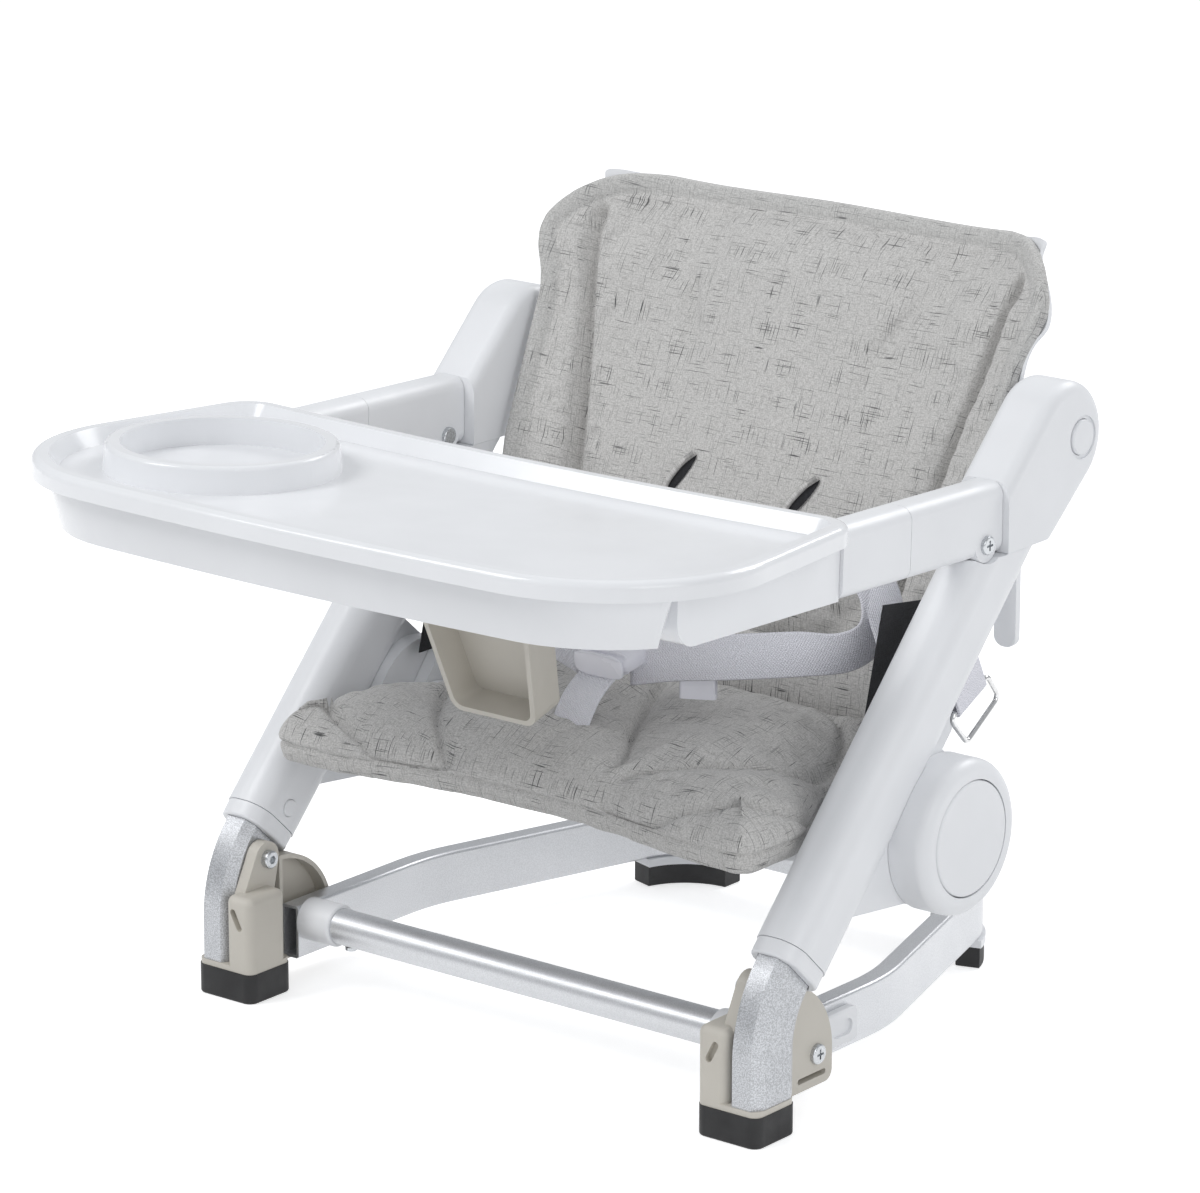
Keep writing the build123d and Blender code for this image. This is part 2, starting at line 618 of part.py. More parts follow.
# ---- heads ----
head_inner_x = LEG_X - HEAD_W / 2
head_outer_x = LEG_X + HEAD_W / 2
with BuildPart() as head:
    with BuildSketch(Plane.YZ.offset(head_inner_x)):
        with BuildLine():
            CenterArc((HEAD_END_Y, HEAD_END_Z), HEAD_END_R, 0, 360)
            Polyline((HEAD_FRONT_Y, SEAM_Z), (HEAD_FRONT_Y, HEAD_SHOULDER_Z),
                     (HEAD_REAR_Y, SEAM_Z), close=True)
        make_hull()
    extrude(amount=HEAD_W)
    rounded = head.edges().filter_by(lambda e: e.bounding_box().min.Z > SEAM_Z + 1)
    rounded = rounded.filter_by(lambda e: e.length > 20).filter_by(Axis.X, reverse=True)
    rounded = rounded.filter_by(lambda e: e.bounding_box().min.Z > HEAD_SHOULDER_Z - 30)
    fillet(rounded, 7)
    with BuildSketch(Plane.XZ.offset(-HEAD_REAR_Y)):
        with Locations((FLANGE_X, SEAM_Z)):
            RectangleRounded(FLANGE_W, 2 * FLANGE_DROP, FLANGE_W / 2 - 1)
        with Locations((FLANGE_X, SEAM_Z)):
            Rectangle(2 * FLANGE_W, FLANGE_DROP + 1, align=(Align.CENTER, Align.MIN),
                      mode=Mode.SUBTRACT)
    extrude(amount=FLANGE_T)
    with BuildSketch(Plane.YZ.offset(head_outer_x)):
        with Locations((HEAD_BUTTON_Y, HEAD_BUTTON_Z)):
            Circle(BUTTON_RING_R)
    extrude(amount=-1.2, mode=Mode.SUBTRACT)
    with BuildSketch(Plane.YZ.offset(head_outer_x)):
        with Locations((HEAD_BUTTON_Y, HEAD_BUTTON_Z)):
            Circle(HEAD_BUTTON_R + BUTTON_GAP)
    extrude(amount=-16, mode=Mode.SUBTRACT)
finish_pair(head, "head")

with BuildPart() as head_button:
    with BuildSketch(Plane.YZ.offset(head_outer_x + 0.6)):
        with Locations((HEAD_BUTTON_Y, HEAD_BUTTON_Z)):
            Circle(HEAD_BUTTON_R)
    extrude(amount=-12)
    fillet(head_button.faces().sort_by(Axis.X)[-1].edges(), 1.2)
finish_pair(head_button, "head_button")

# ---- hubs ----
with BuildPart() as hub_carrier:
    with BuildSketch(Plane.YZ.offset(hub_inner_x)):
        with Locations((HUB_Y, HUB_Z)):
            Circle(HUB_R - 2)
    extrude(amount=HUB_SPLIT_X - hub_inner_x)
    with BuildSketch(Plane.YZ.offset(LEG_X - 11)):
        with BuildLine():
            CenterArc((HUB_Y, HUB_Z), HUB_R - 6, 0, 360)
            CenterArc(leg_point(168, 15), 7, 0, 360)
            CenterArc(leg_point(72, 15), 5, 0, 360)
        make_hull()
    extrude(amount=HUB_SPLIT_X - LEG_X + 11)
    with BuildSketch(Plane.YZ.offset(hub_inner_x - 1)):
        with Locations((HUB_Y, HUB_Z)):
            Circle(HUB_PIN_R)
    extrude(amount=HUB_SPLIT_X - hub_inner_x + 2, mode=Mode.SUBTRACT)
    add(sleeve_envelope.part, mode=Mode.SUBTRACT)
finish_pair(hub_carrier, "hub_carrier")

with BuildPart() as hub_housing:
    with BuildSketch(Plane.YZ.offset(HUB_SPLIT_X + SEAM)):
        with Locations((HUB_Y, HUB_Z)):
            Circle(HUB_R)
    extrude(amount=HUB_OUTER_X - HUB_SPLIT_X - SEAM)
    fillet(hub_housing.faces().sort_by(Axis.X)[-1].edges(), 7)
    with BuildSketch(Plane.YZ.offset(HUB_OUTER_X)):
        with Locations((HUB_Y, HUB_Z)):
            Circle(HUB_DISC_R + 0.6)
    extrude(amount=-5, mode=Mode.SUBTRACT)
    add(sleeve_envelope.part, mode=Mode.SUBTRACT)
finish_pair(hub_housing, "hub_housing")

with BuildPart() as hub_disc:
    with BuildSketch(Plane.YZ.offset(HUB_OUTER_X - 5)):
        with Locations((HUB_Y, HUB_Z)):
            Circle(HUB_DISC_R)
    extrude(amount=5.4)
    fillet(hub_disc.faces().sort_by(Axis.X)[-1].edges(), 1.5)
finish_pair(hub_disc, "hub_disc")

with BuildPart() as hub_pin:
    with BuildSketch(Plane.YZ.offset(HUB_PIN_INNER_X)):
        with Locations((HUB_Y, HUB_Z)):
            Circle(HUB_PIN_R)
    extrude(amount=HUB_SPLIT_X - HUB_PIN_INNER_X)
    with BuildSketch(Plane.YZ.offset(HUB_PIN_INNER_X)):
        with Locations((HUB_Y, HUB_Z)):
            Circle(HUB_PIN_R + 3)
    extrude(amount=2)
finish_mirrored_group(hub_pin, "hub_pins")

# ---- seat pan: a ribbed moulding, open underneath ----
pan_flange_x = HUB_PIN_INNER_X + 2
with BuildPart() as seat_pan:
    with BuildSketch(Plane.XY.offset(PAN_BOTTOM)) as pan_plan:
        with BuildLine():
            Polyline((-pan_half_w, PAN_FRONT_Y), (pan_half_w, PAN_FRONT_Y),
                     (pan_half_w, HUB_Y + 20), (pan_half_w - 18, PAN_REAR_Y),
                     (18 - pan_half_w, PAN_REAR_Y), (-pan_half_w, HUB_Y + 20), close=True)
        make_face()
        fillet(pan_plan.vertices().group_by(Axis.Y)[0], 26)
        fillet(pan_plan.vertices().group_by(Axis.Y)[-1], 10)
    extrude(amount=PAN_TOP - PAN_BOTTOM)
    with BuildSketch(Plane.XY.offset(PAN_BOTTOM)):
        add(pan_plan.sketch)
        offset(amount=-PAN_WALL)
    extrude(amount=PAN_TOP - PAN_BOTTOM - PAN_WALL, mode=Mode.SUBTRACT)
    with BuildSketch(Plane.XY.offset(PAN_BOTTOM + 3)):
        with Locations((0, (PAN_FRONT_Y + PAN_REAR_Y) / 2)):
            with GridLocations(60, 1, 4, 1):
                Rectangle(2.2, PAN_REAR_Y - PAN_FRONT_Y - 4)
            with GridLocations(1, 50, 1, 2):
                Rectangle(2 * (pan_half_w - 12), 2.2)
    extrude(amount=PAN_TOP - PAN_BOTTOM - 4)
    with BuildSketch(Plane.YZ.offset(pan_flange_x)):
        with BuildLine():
            CenterArc((HUB_Y, HUB_Z), 17, 0, 360)
            Polyline((HUB_Y - 45, PAN_BOTTOM), (HUB_Y + 20, PAN_BOTTOM), (HUB_Y + 20, PAN_TOP),
                     (HUB_Y - 45, PAN_TOP), close=True)
        make_hull()
    flange = extrude(amount=pan_half_w - pan_flange_x)
    mirror(flange, about=Plane.YZ)
    with BuildSketch(Plane.YZ.offset(-pan_half_w - 1)):
        with Locations((HUB_Y, HUB_Z)):
            Circle(HUB_PIN_R)
    extrude(amount=2 * pan_half_w + 2, mode=Mode.SUBTRACT)
    with BuildSketch(Plane.YZ.offset(-pan_flange_x)):
        with Locations((HUB_Y, HUB_Z)):
            Circle(HUB_PIN_R + 3.6)
    extrude(amount=2 * pan_flange_x, mode=Mode.SUBTRACT)
finish(seat_pan, "seat_pan")

# ---- seat cushion: wide under the thighs, narrower between the hubs ----
with BuildPart() as seat_cushion:
    with BuildSketch(Plane.XY.offset(PAN_TOP + SEAM)) as cushion_plan:
        with BuildLine():
            Spline((-112, 30), (-60, 40), (0, 44), (60, 40), (112, 30))
            Polyline((112, 30), (CUSHION_HALF_W, 28), (CUSHION_HALF_W, 78), (137, 125),
                     (137, 196), (-137, 196), (-137, 125), (-CUSHION_HALF_W, 78),
                     (-CUSHION_HALF_W, 28), (-112, 30))
        make_face()
        fillet(cushion_plan.vertices().filter_by(lambda v: abs(v.X) > CUSHION_HALF_W - 1), 13)
        fillet(cushion_plan.vertices().filter_by(lambda v: 136 < abs(v.X) < 138), 14)
    extrude(amount=CUSHION_TOP - PAN_TOP - SEAM)
    fillet(seat_cushion.faces().sort_by(Axis.Z)[-1].edges(), 9)
finish(seat_cushion, "seat_cushion")

# ---- backrest ----
back_sin = sin(radians(BACK_LEAN))
back_cos = cos(radians(BACK_LEAN))
back_frame = Plane(origin=(0, BACK_FOOT_Y, BACK_FOOT_Z), x_dir=(1, 0, 0),
                   z_dir=(0, back_sin, back_cos))
# Looking along the frame's normal at the backrest from the front: x across, y up the back.
back_front = Plane(origin=(0, BACK_FOOT_Y, BACK_FOOT_Z), x_dir=(1, 0, 0),
                   z_dir=(0, -back_cos, back_sin))


def wing_curve(shift):
    """Points of the back's cross-section: flat in the middle, with wings that come forward."""
    half = [(0, 0), (BACK_FLAT_HALF, -1), (BACK_MID_HALF_W, -BACK_WING_DEPTH * 0.8),
            (BACK_WING_X + 8, -BACK_WING_DEPTH - 1)]
    left = [(-x, y + shift) for x, y in reversed(half[1:])]
    return left + [(x, y + shift) for x, y in half]


def ribbon(points, other_points):
    """Band between two matching curves, on the current sketch."""
    with BuildLine() as band:
        near = Spline(*points)
        far = Spline(*other_points)
        Line(near @ 0, far @ 0)
        Line(near @ 1, far @ 1)
    make_face(band.edges())


def back_outline(inset, low):
    """Front outline of the back: narrow between the heads, flared above them."""
    low_w = BACK_LOW_HALF_W - inset
    mid_w = BACK_MID_HALF_W - inset
    top_w = BACK_TOP_HALF_W - inset
    top = BACK_LENGTH - inset
    with BuildLine() as half:
        Polyline((0, low), (low_w, low), (mid_w, 120), (mid_w, BACK_FLARE_L))
        Spline((mid_w, BACK_FLARE_L), (top_w - 1, top - 52), (top_w - 8, top - 31),
               (top_w - 24, top - 12), (top_w - 56, top - 1), tangents=[(0, 1), (-1, 0)])
        Polyline((top_w - 56, top - 1), (0, top), (0, low))
    make_face(half.edges())
    mirror(about=Plane.YZ)


with BuildPart() as back_shell:
    with BuildSketch(back_frame.offset(-30)):
        ribbon(wing_curve(0), wing_curve(BACK_SHELL_T))
    extrude(amount=BACK_LENGTH + 60)
    with BuildSketch(back_front.offset(-60)) as shell_outline:
        back_outline(2, BACK_LOW)
    extrude(amount=120, mode=Mode.INTERSECT)
    with BuildSketch(Plane.YZ.offset(back_arm_x)):
        with BuildLine():
            CenterArc((HUB_Y, HUB_Z), BACK_ARM_R, 0, 360)
            Polyline((210, 166), (250, 258), (237, 258), (196, 166), close=True)
        make_hull()
    back_arm = extrude(amount=BACK_ARM_T)
    mirror(back_arm, about=Plane.YZ)
    with BuildSketch(Plane.YZ.offset(-hub_inner_x)):
        with Locations((HUB_Y, HUB_Z)):
            Circle(HUB_PIN_R + PIN_GAP)
    extrude(amount=2 * hub_inner_x, mode=Mode.SUBTRACT)
    with BuildSketch(back_front.offset(-20)):
        with Locations((-41, 128), (41, 128), (-41, 168), (41, 168)):
            SlotOverall(32, 7)
    extrude(amount=40, mode=Mode.SUBTRACT)
finish(back_shell, "back_shell")

with BuildPart() as back_cushion:
    with BuildSketch(back_frame.offset(-30)):
        ribbon(wing_curve(-BACK_CUSHION_T), wing_curve(-SEAM))
    extrude(amount=BACK_LENGTH + 60)
    with BuildSketch(back_front.offset(-30)):
        back_outline(0, BACK_LOW - 6)
    extrude(amount=120, mode=Mode.INTERSECT)
    add(back_shell.part, mode=Mode.SUBTRACT)
finish(back_cushion, "back_cushion")

# ---- arms, with the rails that the tray slides on ----
arm_inner_x = ARM_X - ARM_W / 2
rail_inner_x = ARM_X - RAIL_W / 2

with BuildPart() as arm_bar:
    with BuildSketch(Plane(tray_frame.from_local_coords((ARM_X, ARM_REAR_Y, ARM_H / 2)),
                           x_dir=(1, 0, 0), z_dir=-tray_frame.y_dir)):
        RectangleRounded(ARM_W, ARM_H, ARM_ROUND)
    extrude(amount=ARM_REAR_Y - ARM_FRONT_Y - SEAM)

with BuildPart() as arm_rail:
    with BuildSketch(arm_side(rail_inner_x)):
        with Locations((RAIL_FRONT_Y, RAIL_BASE)):
            Rectangle(ARM_SPLIT_Y - RAIL_FRONT_Y, RAIL_H, align=(Align.MIN, Align.MIN))
    extrude(amount=RAIL_W)
    front_edges = arm_rail.faces().sort_by(Axis.Y)[0].edges()
    chamfer(front_edges, 2)
finish_pair(arm_rail, "arm_rail")

with BuildPart() as arm_sleeve:
    add(arm_bar.part)
    split(bisect_by=Plane(tray_frame.from_local_coords((0, ARM_SPLIT_Y - SEAM / 2, 0)),
                          z_dir=tray_frame.y_dir), keep=Keep.BOTTOM)
    add(arm_rail.part, mode=Mode.SUBTRACT)
finish_pair(arm_sleeve, "arm_sleeve")

with BuildPart() as arm:
    add(arm_bar.part)
    split(bisect_by=Plane(tray_frame.from_local_coords((0, ARM_SPLIT_Y + SEAM / 2, 0)),
                          z_dir=tray_frame.y_dir), keep=Keep.TOP)
    with BuildSketch(Plane.YZ.offset(arm_inner_x)):
        with Locations((ARM_SCREW_Y, ARM_SCREW_Z)):
            Circle(BOSS_R)
    extrude(amount=ARM_W)
    with BuildSketch(Plane.YZ.offset(arm_inner_x - 1)):
        with Locations((ARM_SCREW_Y, ARM_SCREW_Z)):
            Circle(SCREW_R + PIN_GAP)
    extrude(amount=ARM_W + 2, mode=Mode.SUBTRACT)
    split(bisect_by=Plane.XZ.offset(SEAM - HEAD_FRONT_Y), keep=Keep.TOP)
finish_pair(arm, "arm")

with BuildPart() as arm_screw:
    with BuildSketch(Plane.YZ.offset(arm_inner_x - 2.4)):
        with Locations((ARM_SCREW_Y, ARM_SCREW_Z)):
            Circle(5)
    extrude(amount=2.4)
    with BuildSketch(Plane.YZ.offset(arm_inner_x + ARM_W)):
        with Locations((ARM_SCREW_Y, ARM_SCREW_Z)):
            Circle(5)
    extrude(amount=2.4)
    fillet(arm_screw.faces().sort_by(Axis.X)[-1].edges(), 1)
    fillet(arm_screw.faces().sort_by(Axis.X)[0].edges(), 1)
    with BuildSketch(Plane.YZ.offset(arm_inner_x)):
        with Locations((ARM_SCREW_Y, ARM_SCREW_Z)):
            Circle(SCREW_R)
    extrude(amount=ARM_W)
    with BuildSketch(Plane.YZ.offset(arm_inner_x + ARM_W + 2.4)):
        with Locations((ARM_SCREW_Y, ARM_SCREW_Z)):
            Rectangle(5.5, 1.2)
            Rectangle(1.2, 5.5)
    extrude(amount=-1.4, mode=Mode.SUBTRACT)
finish_mirrored_group(arm_screw, "arm_screws")

# ---- tray base: an open-bottomed skirt with a deck and a socket for each rail ----
skirt_height = LIP_BOTTOM - SEAM - BODY_BOTTOM
deck_top = DECK_Z + DECK_T
with BuildPart() as tray_base:
    with BuildSketch(tray_frame.offset(LIP_BOTTOM - SEAM)):
        add(body_plan.sketch)
    extrude(amount=-skirt_height, taper=BODY_DRAFT)
    with BuildSketch(tray_frame.offset(LIP_BOTTOM - SEAM)):
        add(body_plan.sketch)
        offset(amount=-BODY_WALL)
    extrude(amount=-skirt_height, taper=BODY_DRAFT, mode=Mode.SUBTRACT)
    with BuildSketch(tray_frame.offset(DECK_Z)):
        add(body_plan.sketch)
        offset(amount=-BODY_WALL)
    extrude(amount=DECK_T)
    with BuildSketch(arm_side(rail_inner_x - RUN_GAP - SOCKET_WALL)):
        with BuildLine():
            Polyline((ARM_FRONT_Y, 0), (ARM_FRONT_Y, deck_top), (SOCKET_FRONT_Y, deck_top),
                     (SOCKET_FRONT_Y, SOCKET_END_R))
            RadiusArc((SOCKET_FRONT_Y, SOCKET_END_R), (SOCKET_FRONT_Y + SOCKET_END_R, 0),
                      -SOCKET_END_R)
            Line((SOCKET_FRONT_Y + SOCKET_END_R, 0), (ARM_FRONT_Y, 0))
        make_face()
    socket = extrude(amount=RAIL_W + 2 * (RUN_GAP + SOCKET_WALL))
    mirror(socket, about=Plane.YZ)
    with BuildSketch(arm_side(rail_inner_x - RUN_GAP)):
        with Locations((RAIL_FRONT_Y - 3, RAIL_BASE - RUN_GAP)):
            Rectangle(ARM_REAR_Y, RAIL_H + 2 * RUN_GAP, align=(Align.MIN, Align.MIN))
    channel = extrude(amount=RAIL_W + 2 * RUN_GAP, mode=Mode.SUBTRACT)
    mirror(channel, about=Plane.YZ, mode=Mode.SUBTRACT)
    with BuildSketch(arm_side(rail_inner_x - 10)):
        with Locations((LATCH_Y, LATCH_Z)):
            Rectangle(LATCH_W + 2 * SEAM, LATCH_H + 2 * SEAM)
    latch_hole = extrude(amount=11, mode=Mode.SUBTRACT)
    mirror(latch_hole, about=Plane.YZ, mode=Mode.SUBTRACT)
    with BuildSketch(arm_side(HANDLE_TOP_HALF + RUN_GAP)):
        with Locations((HANDLE_PIVOT_Y, HANDLE_PIVOT_H)):
            Circle(7)
        with Locations((HANDLE_PIVOT_Y, DECK_Z)):
            Rectangle(14, DECK_Z - HANDLE_PIVOT_H, align=(Align.CENTER, Align.MAX))
    lug = extrude(amount=LUG_T)
    mirror(lug, about=Plane.YZ)
    with BuildSketch(arm_side(-HANDLE_TOP_HALF - LUG_T - 1)):
        with Locations((HANDLE_PIVOT_Y, HANDLE_PIVOT_H)):
            Circle(HANDLE_PIVOT_R + PIN_GAP)
    extrude(amount=2 * (HANDLE_TOP_HALF + LUG_T + 1), mode=Mode.SUBTRACT)
    with BuildSketch(arm_side(rail_inner_x - LATCH_LENGTH)):
        with Locations((LATCH_Y, DECK_Z)):
            Rectangle(LATCH_W + 4, DECK_Z - LATCH_Z - LATCH_H / 2 - SEAM,
                      align=(Align.CENTER, Align.MAX))
    guide = extrude(amount=LATCH_LENGTH - 4)
    mirror(guide, about=Plane.YZ)
finish(tray_base, "tray_base")

# ---- tray cover: the dish that lifts off, with a raised cup ring ----
with BuildPart() as tray_cover:
    with BuildSketch(tray_frame.offset(LIP_BOTTOM)):
        add(rim_plan.sketch)
    extrude(amount=RIM_TOP - LIP_BOTTOM)
    fillet(tray_cover.faces().sort_by(tray_up)[-1].edges(), 4)
    with BuildSketch(tray_frame.offset(RIM_TOP)):
        add(rim_plan.sketch)
        offset(amount=-RIM_W)
    extrude(amount=DISH_FLOOR - RIM_TOP, taper=DISH_DRAFT, mode=Mode.SUBTRACT)
    with BuildSketch(tray_frame.offset(DISH_FLOOR)):
        with Locations((CUP_X, CUP_Y)):
            Circle(CUP_R + CUP_RING_W)
    extrude(amount=CUP_RING_TOP - DISH_FLOOR, taper=6)
    fillet(tray_cover.faces().sort_by(tray_up)[-1].edges(), 2.5)
    with BuildSketch(tray_frame.offset(CUP_FLOOR)):
        with Locations((CUP_X, CUP_Y)):
            Circle(CUP_R)
    extrude(amount=CUP_RING_TOP, mode=Mode.SUBTRACT)
finish(tray_cover, "tray_cover")

# ---- release handle ----
pivot_point = tray_frame.from_local_coords((0, HANDLE_PIVOT_Y, HANDLE_PIVOT_H))
lean = radians(HANDLE_LEAN)
handle_front = Plane(origin=pivot_point + Vector(0, -HANDLE_DEPTH / 2, 0), x_dir=(1, 0, 0),
                     z_dir=(0, -cos(lean), -sin(lean)))


def handle_outline(wall):
    """Tapered front outline of the pull, hanging from its pivot, on the current sketch."""
    top_half = HANDLE_TOP_HALF - wall
    bottom_half = HANDLE_BOTTOM_HALF - wall
    Polygon((top_half, 3), (top_half, 0), (bottom_half, wall - HANDLE_LENGTH),
            (-bottom_half, wall - HANDLE_LENGTH), (-top_half, 0), (-top_half, 3), align=None)


with BuildPart() as release_handle:
    with BuildSketch(handle_front) as outer_front:
        handle_outline(0)
        fillet(outer_front.vertices().group_by(Axis.Y)[0], 8)
    extrude(amount=-HANDLE_DEPTH)
    with BuildSketch(handle_front) as inner_front:
        handle_outline(HANDLE_WALL)
        fillet(inner_front.vertices().group_by(Axis.Y)[0], 6)
    extrude(amount=HANDLE_WALL - HANDLE_DEPTH, mode=Mode.SUBTRACT)
    with BuildSketch(arm_side(-HANDLE_TOP_HALF - LUG_T)):
        with Locations((HANDLE_PIVOT_Y, HANDLE_PIVOT_H)):
            Circle(HANDLE_PIVOT_R)
    extrude(amount=2 * (HANDLE_TOP_HALF + LUG_T))
finish(release_handle, "release_handle")

# ---- latches ----
with BuildPart() as latch:
    with BuildSketch(arm_side(rail_inner_x - LATCH_LENGTH)):
        with Locations((LATCH_Y, LATCH_Z)):
            Rectangle(LATCH_W, LATCH_H)
    extrude(amount=LATCH_LENGTH - RUN_GAP)
    chamfer(latch.faces().sort_by(Axis.X)[-1].edges().filter_by(Axis.Z, tolerance=5), 1.5)
finish_pair(latch, "latch")

# ---- harness ----
with BuildPart() as crotch_strap:
    with BuildSketch(Plane.YZ.offset(-WEB_W / 2)):
        ribbon([(91, CUSHION_TOP), (90, 176), (94, BUCKLE_Z - 1)],
               [(91 + WEB_T, CUSHION_TOP), (90 + WEB_T, 176), (94 + WEB_T, BUCKLE_Z - 1)])
    extrude(amount=WEB_W)
finish(crotch_strap, "crotch_strap")

buckle_frame = Plane(origin=(0, BUCKLE_Y, BUCKLE_Z), x_dir=(1, 0, 0),
                     z_dir=(0, -sin(radians(BUCKLE_LEAN)), cos(radians(BUCKLE_LEAN))))
with BuildPart() as buckle:
    with BuildSketch(buckle_frame):
        RectangleRounded(BUCKLE_W, BUCKLE_L, 7)
    extrude(amount=BUCKLE_T)
    fillet(buckle.edges().filter_by(GeomType.LINE, reverse=True).group_by(Axis.Z)[-1], 1.5)
    add(crotch_strap.part, mode=Mode.SUBTRACT)
finish(buckle, "buckle")

# Each waist strap rises from the seat pan beside the cushion and turns in to the buckle.
with BuildPart() as waist_strap:
    with BuildSketch(Plane.XZ.offset(-STRAP_TAIL_Y)):
        with Locations((STRAP_TAIL_X, PAN_TOP)):
            Rectangle(WEB_T, STRAP_BASE_Z + WEB_W - PAN_TOP, align=(Align.MIN, Align.MIN))
    extrude(amount=-WEB_W)
    with BuildSketch(Plane.XY.offset(STRAP_BASE_Z)):
        strap_line = [(BUCKLE_W / 2, BUCKLE_Y + 4), (60, BUCKLE_Y + 20), (105, BUCKLE_Y + 28),
                      (STRAP_TAIL_X + 1, STRAP_TAIL_Y + 4)]
        ribbon(strap_line, [(x, y + WEB_T) for x, y in strap_line])
    extrude(amount=WEB_W)
    add(buckle.part, mode=Mode.SUBTRACT)
finish_pair(waist_strap, "waist_strap")

with BuildPart() as strap_adjuster:
    with BuildSketch(Plane.XY.offset(STRAP_BASE_Z - 3)):
        with Locations(Location((52, BUCKLE_Y + 18.5), 28)):
            RectangleRounded(20, 7, 2)
    extrude(amount=WEB_W + 6)
    add(waist_strap.part, mode=Mode.SUBTRACT)
finish(strap_adjuster, "strap_adjuster")

# ---- anchor loops and their wire rings, behind the sleeves ----
ring_corners = [(203.0, 203.5), (214.0, 189.5), (185.5, 171.0), (170.0, 187.6)]
bar_from = ring_corners[-1]
bar_to = ring_corners[0]
bar_length = ((bar_to[0] - bar_from[0]) ** 2 + (bar_to[1] - bar_from[1]) ** 2) ** 0.5
bar_direction = ((bar_to[0] - bar_from[0]) / bar_length, (bar_to[1] - bar_from[1]) / bar_length)
bar_middle = ((bar_to[0] + bar_from[0]) / 2, (bar_to[1] + bar_from[1]) / 2)

with BuildPart() as wire_ring:
    with BuildLine(Plane.YZ.offset(RING_X)) as ring_line:
        FilletPolyline(*ring_corners, radius=4, close=True)
    with BuildSketch(Plane(origin=(RING_X, *bar_middle), x_dir=(1, 0, 0),
                           z_dir=(0, *bar_direction))):
        Circle(RING_WIRE_R)
    sweep(path=ring_line.line)
finish_pair(wire_ring, "wire_ring")

with BuildPart() as anchor_strap:
    loop_plane = Plane(origin=(RING_X, *bar_middle), x_dir=(1, 0, 0), z_dir=(0, *bar_direction))
    with BuildSketch(loop_plane.offset(-ANCHOR_W / 2)):
        with Locations((0, -ANCHOR_REACH / 2)):
            SlotCenterToCenter(ANCHOR_REACH, 2 * (RING_WIRE_R + PIN_GAP + WEB_T), rotation=90)
            SlotCenterToCenter(ANCHOR_REACH, 2 * (RING_WIRE_R + PIN_GAP), rotation=90,
                               mode=Mode.SUBTRACT)
    extrude(amount=ANCHOR_W)
    add(sleeve_envelope.part, mode=Mode.SUBTRACT)
finish_pair(anchor_strap, "anchor_strap")
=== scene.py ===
from math import cos, pi, radians, sin

import bmesh
import bpy
import numpy as np
from mathutils import Matrix, Vector, noise
from mathutils.bvhtree import BVHTree


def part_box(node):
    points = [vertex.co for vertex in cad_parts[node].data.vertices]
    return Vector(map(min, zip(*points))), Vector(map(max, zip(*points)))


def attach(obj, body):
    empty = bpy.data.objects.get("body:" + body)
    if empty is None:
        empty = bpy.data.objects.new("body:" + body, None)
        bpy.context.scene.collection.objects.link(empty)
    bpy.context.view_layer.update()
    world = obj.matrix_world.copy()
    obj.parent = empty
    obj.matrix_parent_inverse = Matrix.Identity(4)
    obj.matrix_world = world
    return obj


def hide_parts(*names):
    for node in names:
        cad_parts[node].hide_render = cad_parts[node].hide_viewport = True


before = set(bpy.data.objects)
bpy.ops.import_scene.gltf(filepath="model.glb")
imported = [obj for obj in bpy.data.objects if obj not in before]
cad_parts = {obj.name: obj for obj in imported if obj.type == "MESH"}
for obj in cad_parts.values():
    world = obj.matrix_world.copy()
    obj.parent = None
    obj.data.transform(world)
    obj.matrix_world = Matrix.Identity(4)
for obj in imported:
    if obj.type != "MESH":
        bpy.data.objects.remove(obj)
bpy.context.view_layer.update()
scene = bpy.context.scene

# ---- places taken from the frame ----
seat_low, seat_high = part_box("seat_cushion")
buckle_low, buckle_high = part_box("buckle")

FOOT_CAP_LIP = 0.0008
FEET_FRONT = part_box("foot_cap_left")[0].y + FOOT_CAP_LIP


def at(x, y, z):
    """A place in millimetres from the floor, midway between the legs, at the feet's front."""
    return Vector((x / 1000, y / 1000 + FEET_FRONT, z / 1000))


BACK_LEAN = radians(24)
BACK_UP = Vector((0, sin(BACK_LEAN), cos(BACK_LEAN)))
BACK_OUT = Vector((0, -cos(BACK_LEAN), sin(BACK_LEAN)))
BACK_FOOT = at(0, 208, 150)


# ================= materials =================
def new_material(name):
    """A new node material, with its tree and its shader."""
    mat = bpy.data.materials.new(name)
    mat.use_nodes = True
    tree = mat.node_tree
    return mat, tree, tree.nodes["Principled BSDF"]


def node(tree, kind, **values):
    """Add a node; a value's name is a property or an input socket."""
    made = tree.nodes.new(kind)
    for key, value in values.items():
        if key.startswith("in_"):
            made.inputs[key[3:].replace("_", " ")].default_value = value
        else:
            setattr(made, key, value)
    return made


def bump_from(tree, shader, height_socket, strength, distance):
    """Drive the shader's normal from a height."""
    bump = node(tree, "ShaderNodeBump")
    bump.inputs["Strength"].default_value = strength
    bump.inputs["Distance"].default_value = distance
    tree.links.new(height_socket, bump.inputs["Height"])
    tree.links.new(bump.outputs["Normal"], shader.inputs["Normal"])


def object_noise(tree, scale, detail=3.0, rough=0.5):
    """Noise in the object's own coordinates, in features per metre."""
    coords = node(tree, "ShaderNodeTexCoord")
    made = node(tree, "ShaderNodeTexNoise")
    made.inputs["Scale"].default_value = scale
    made.inputs["Detail"].default_value = detail
    made.inputs["Roughness"].default_value = rough
    tree.links.new(coords.outputs["Object"], made.inputs["Vector"])
    return made


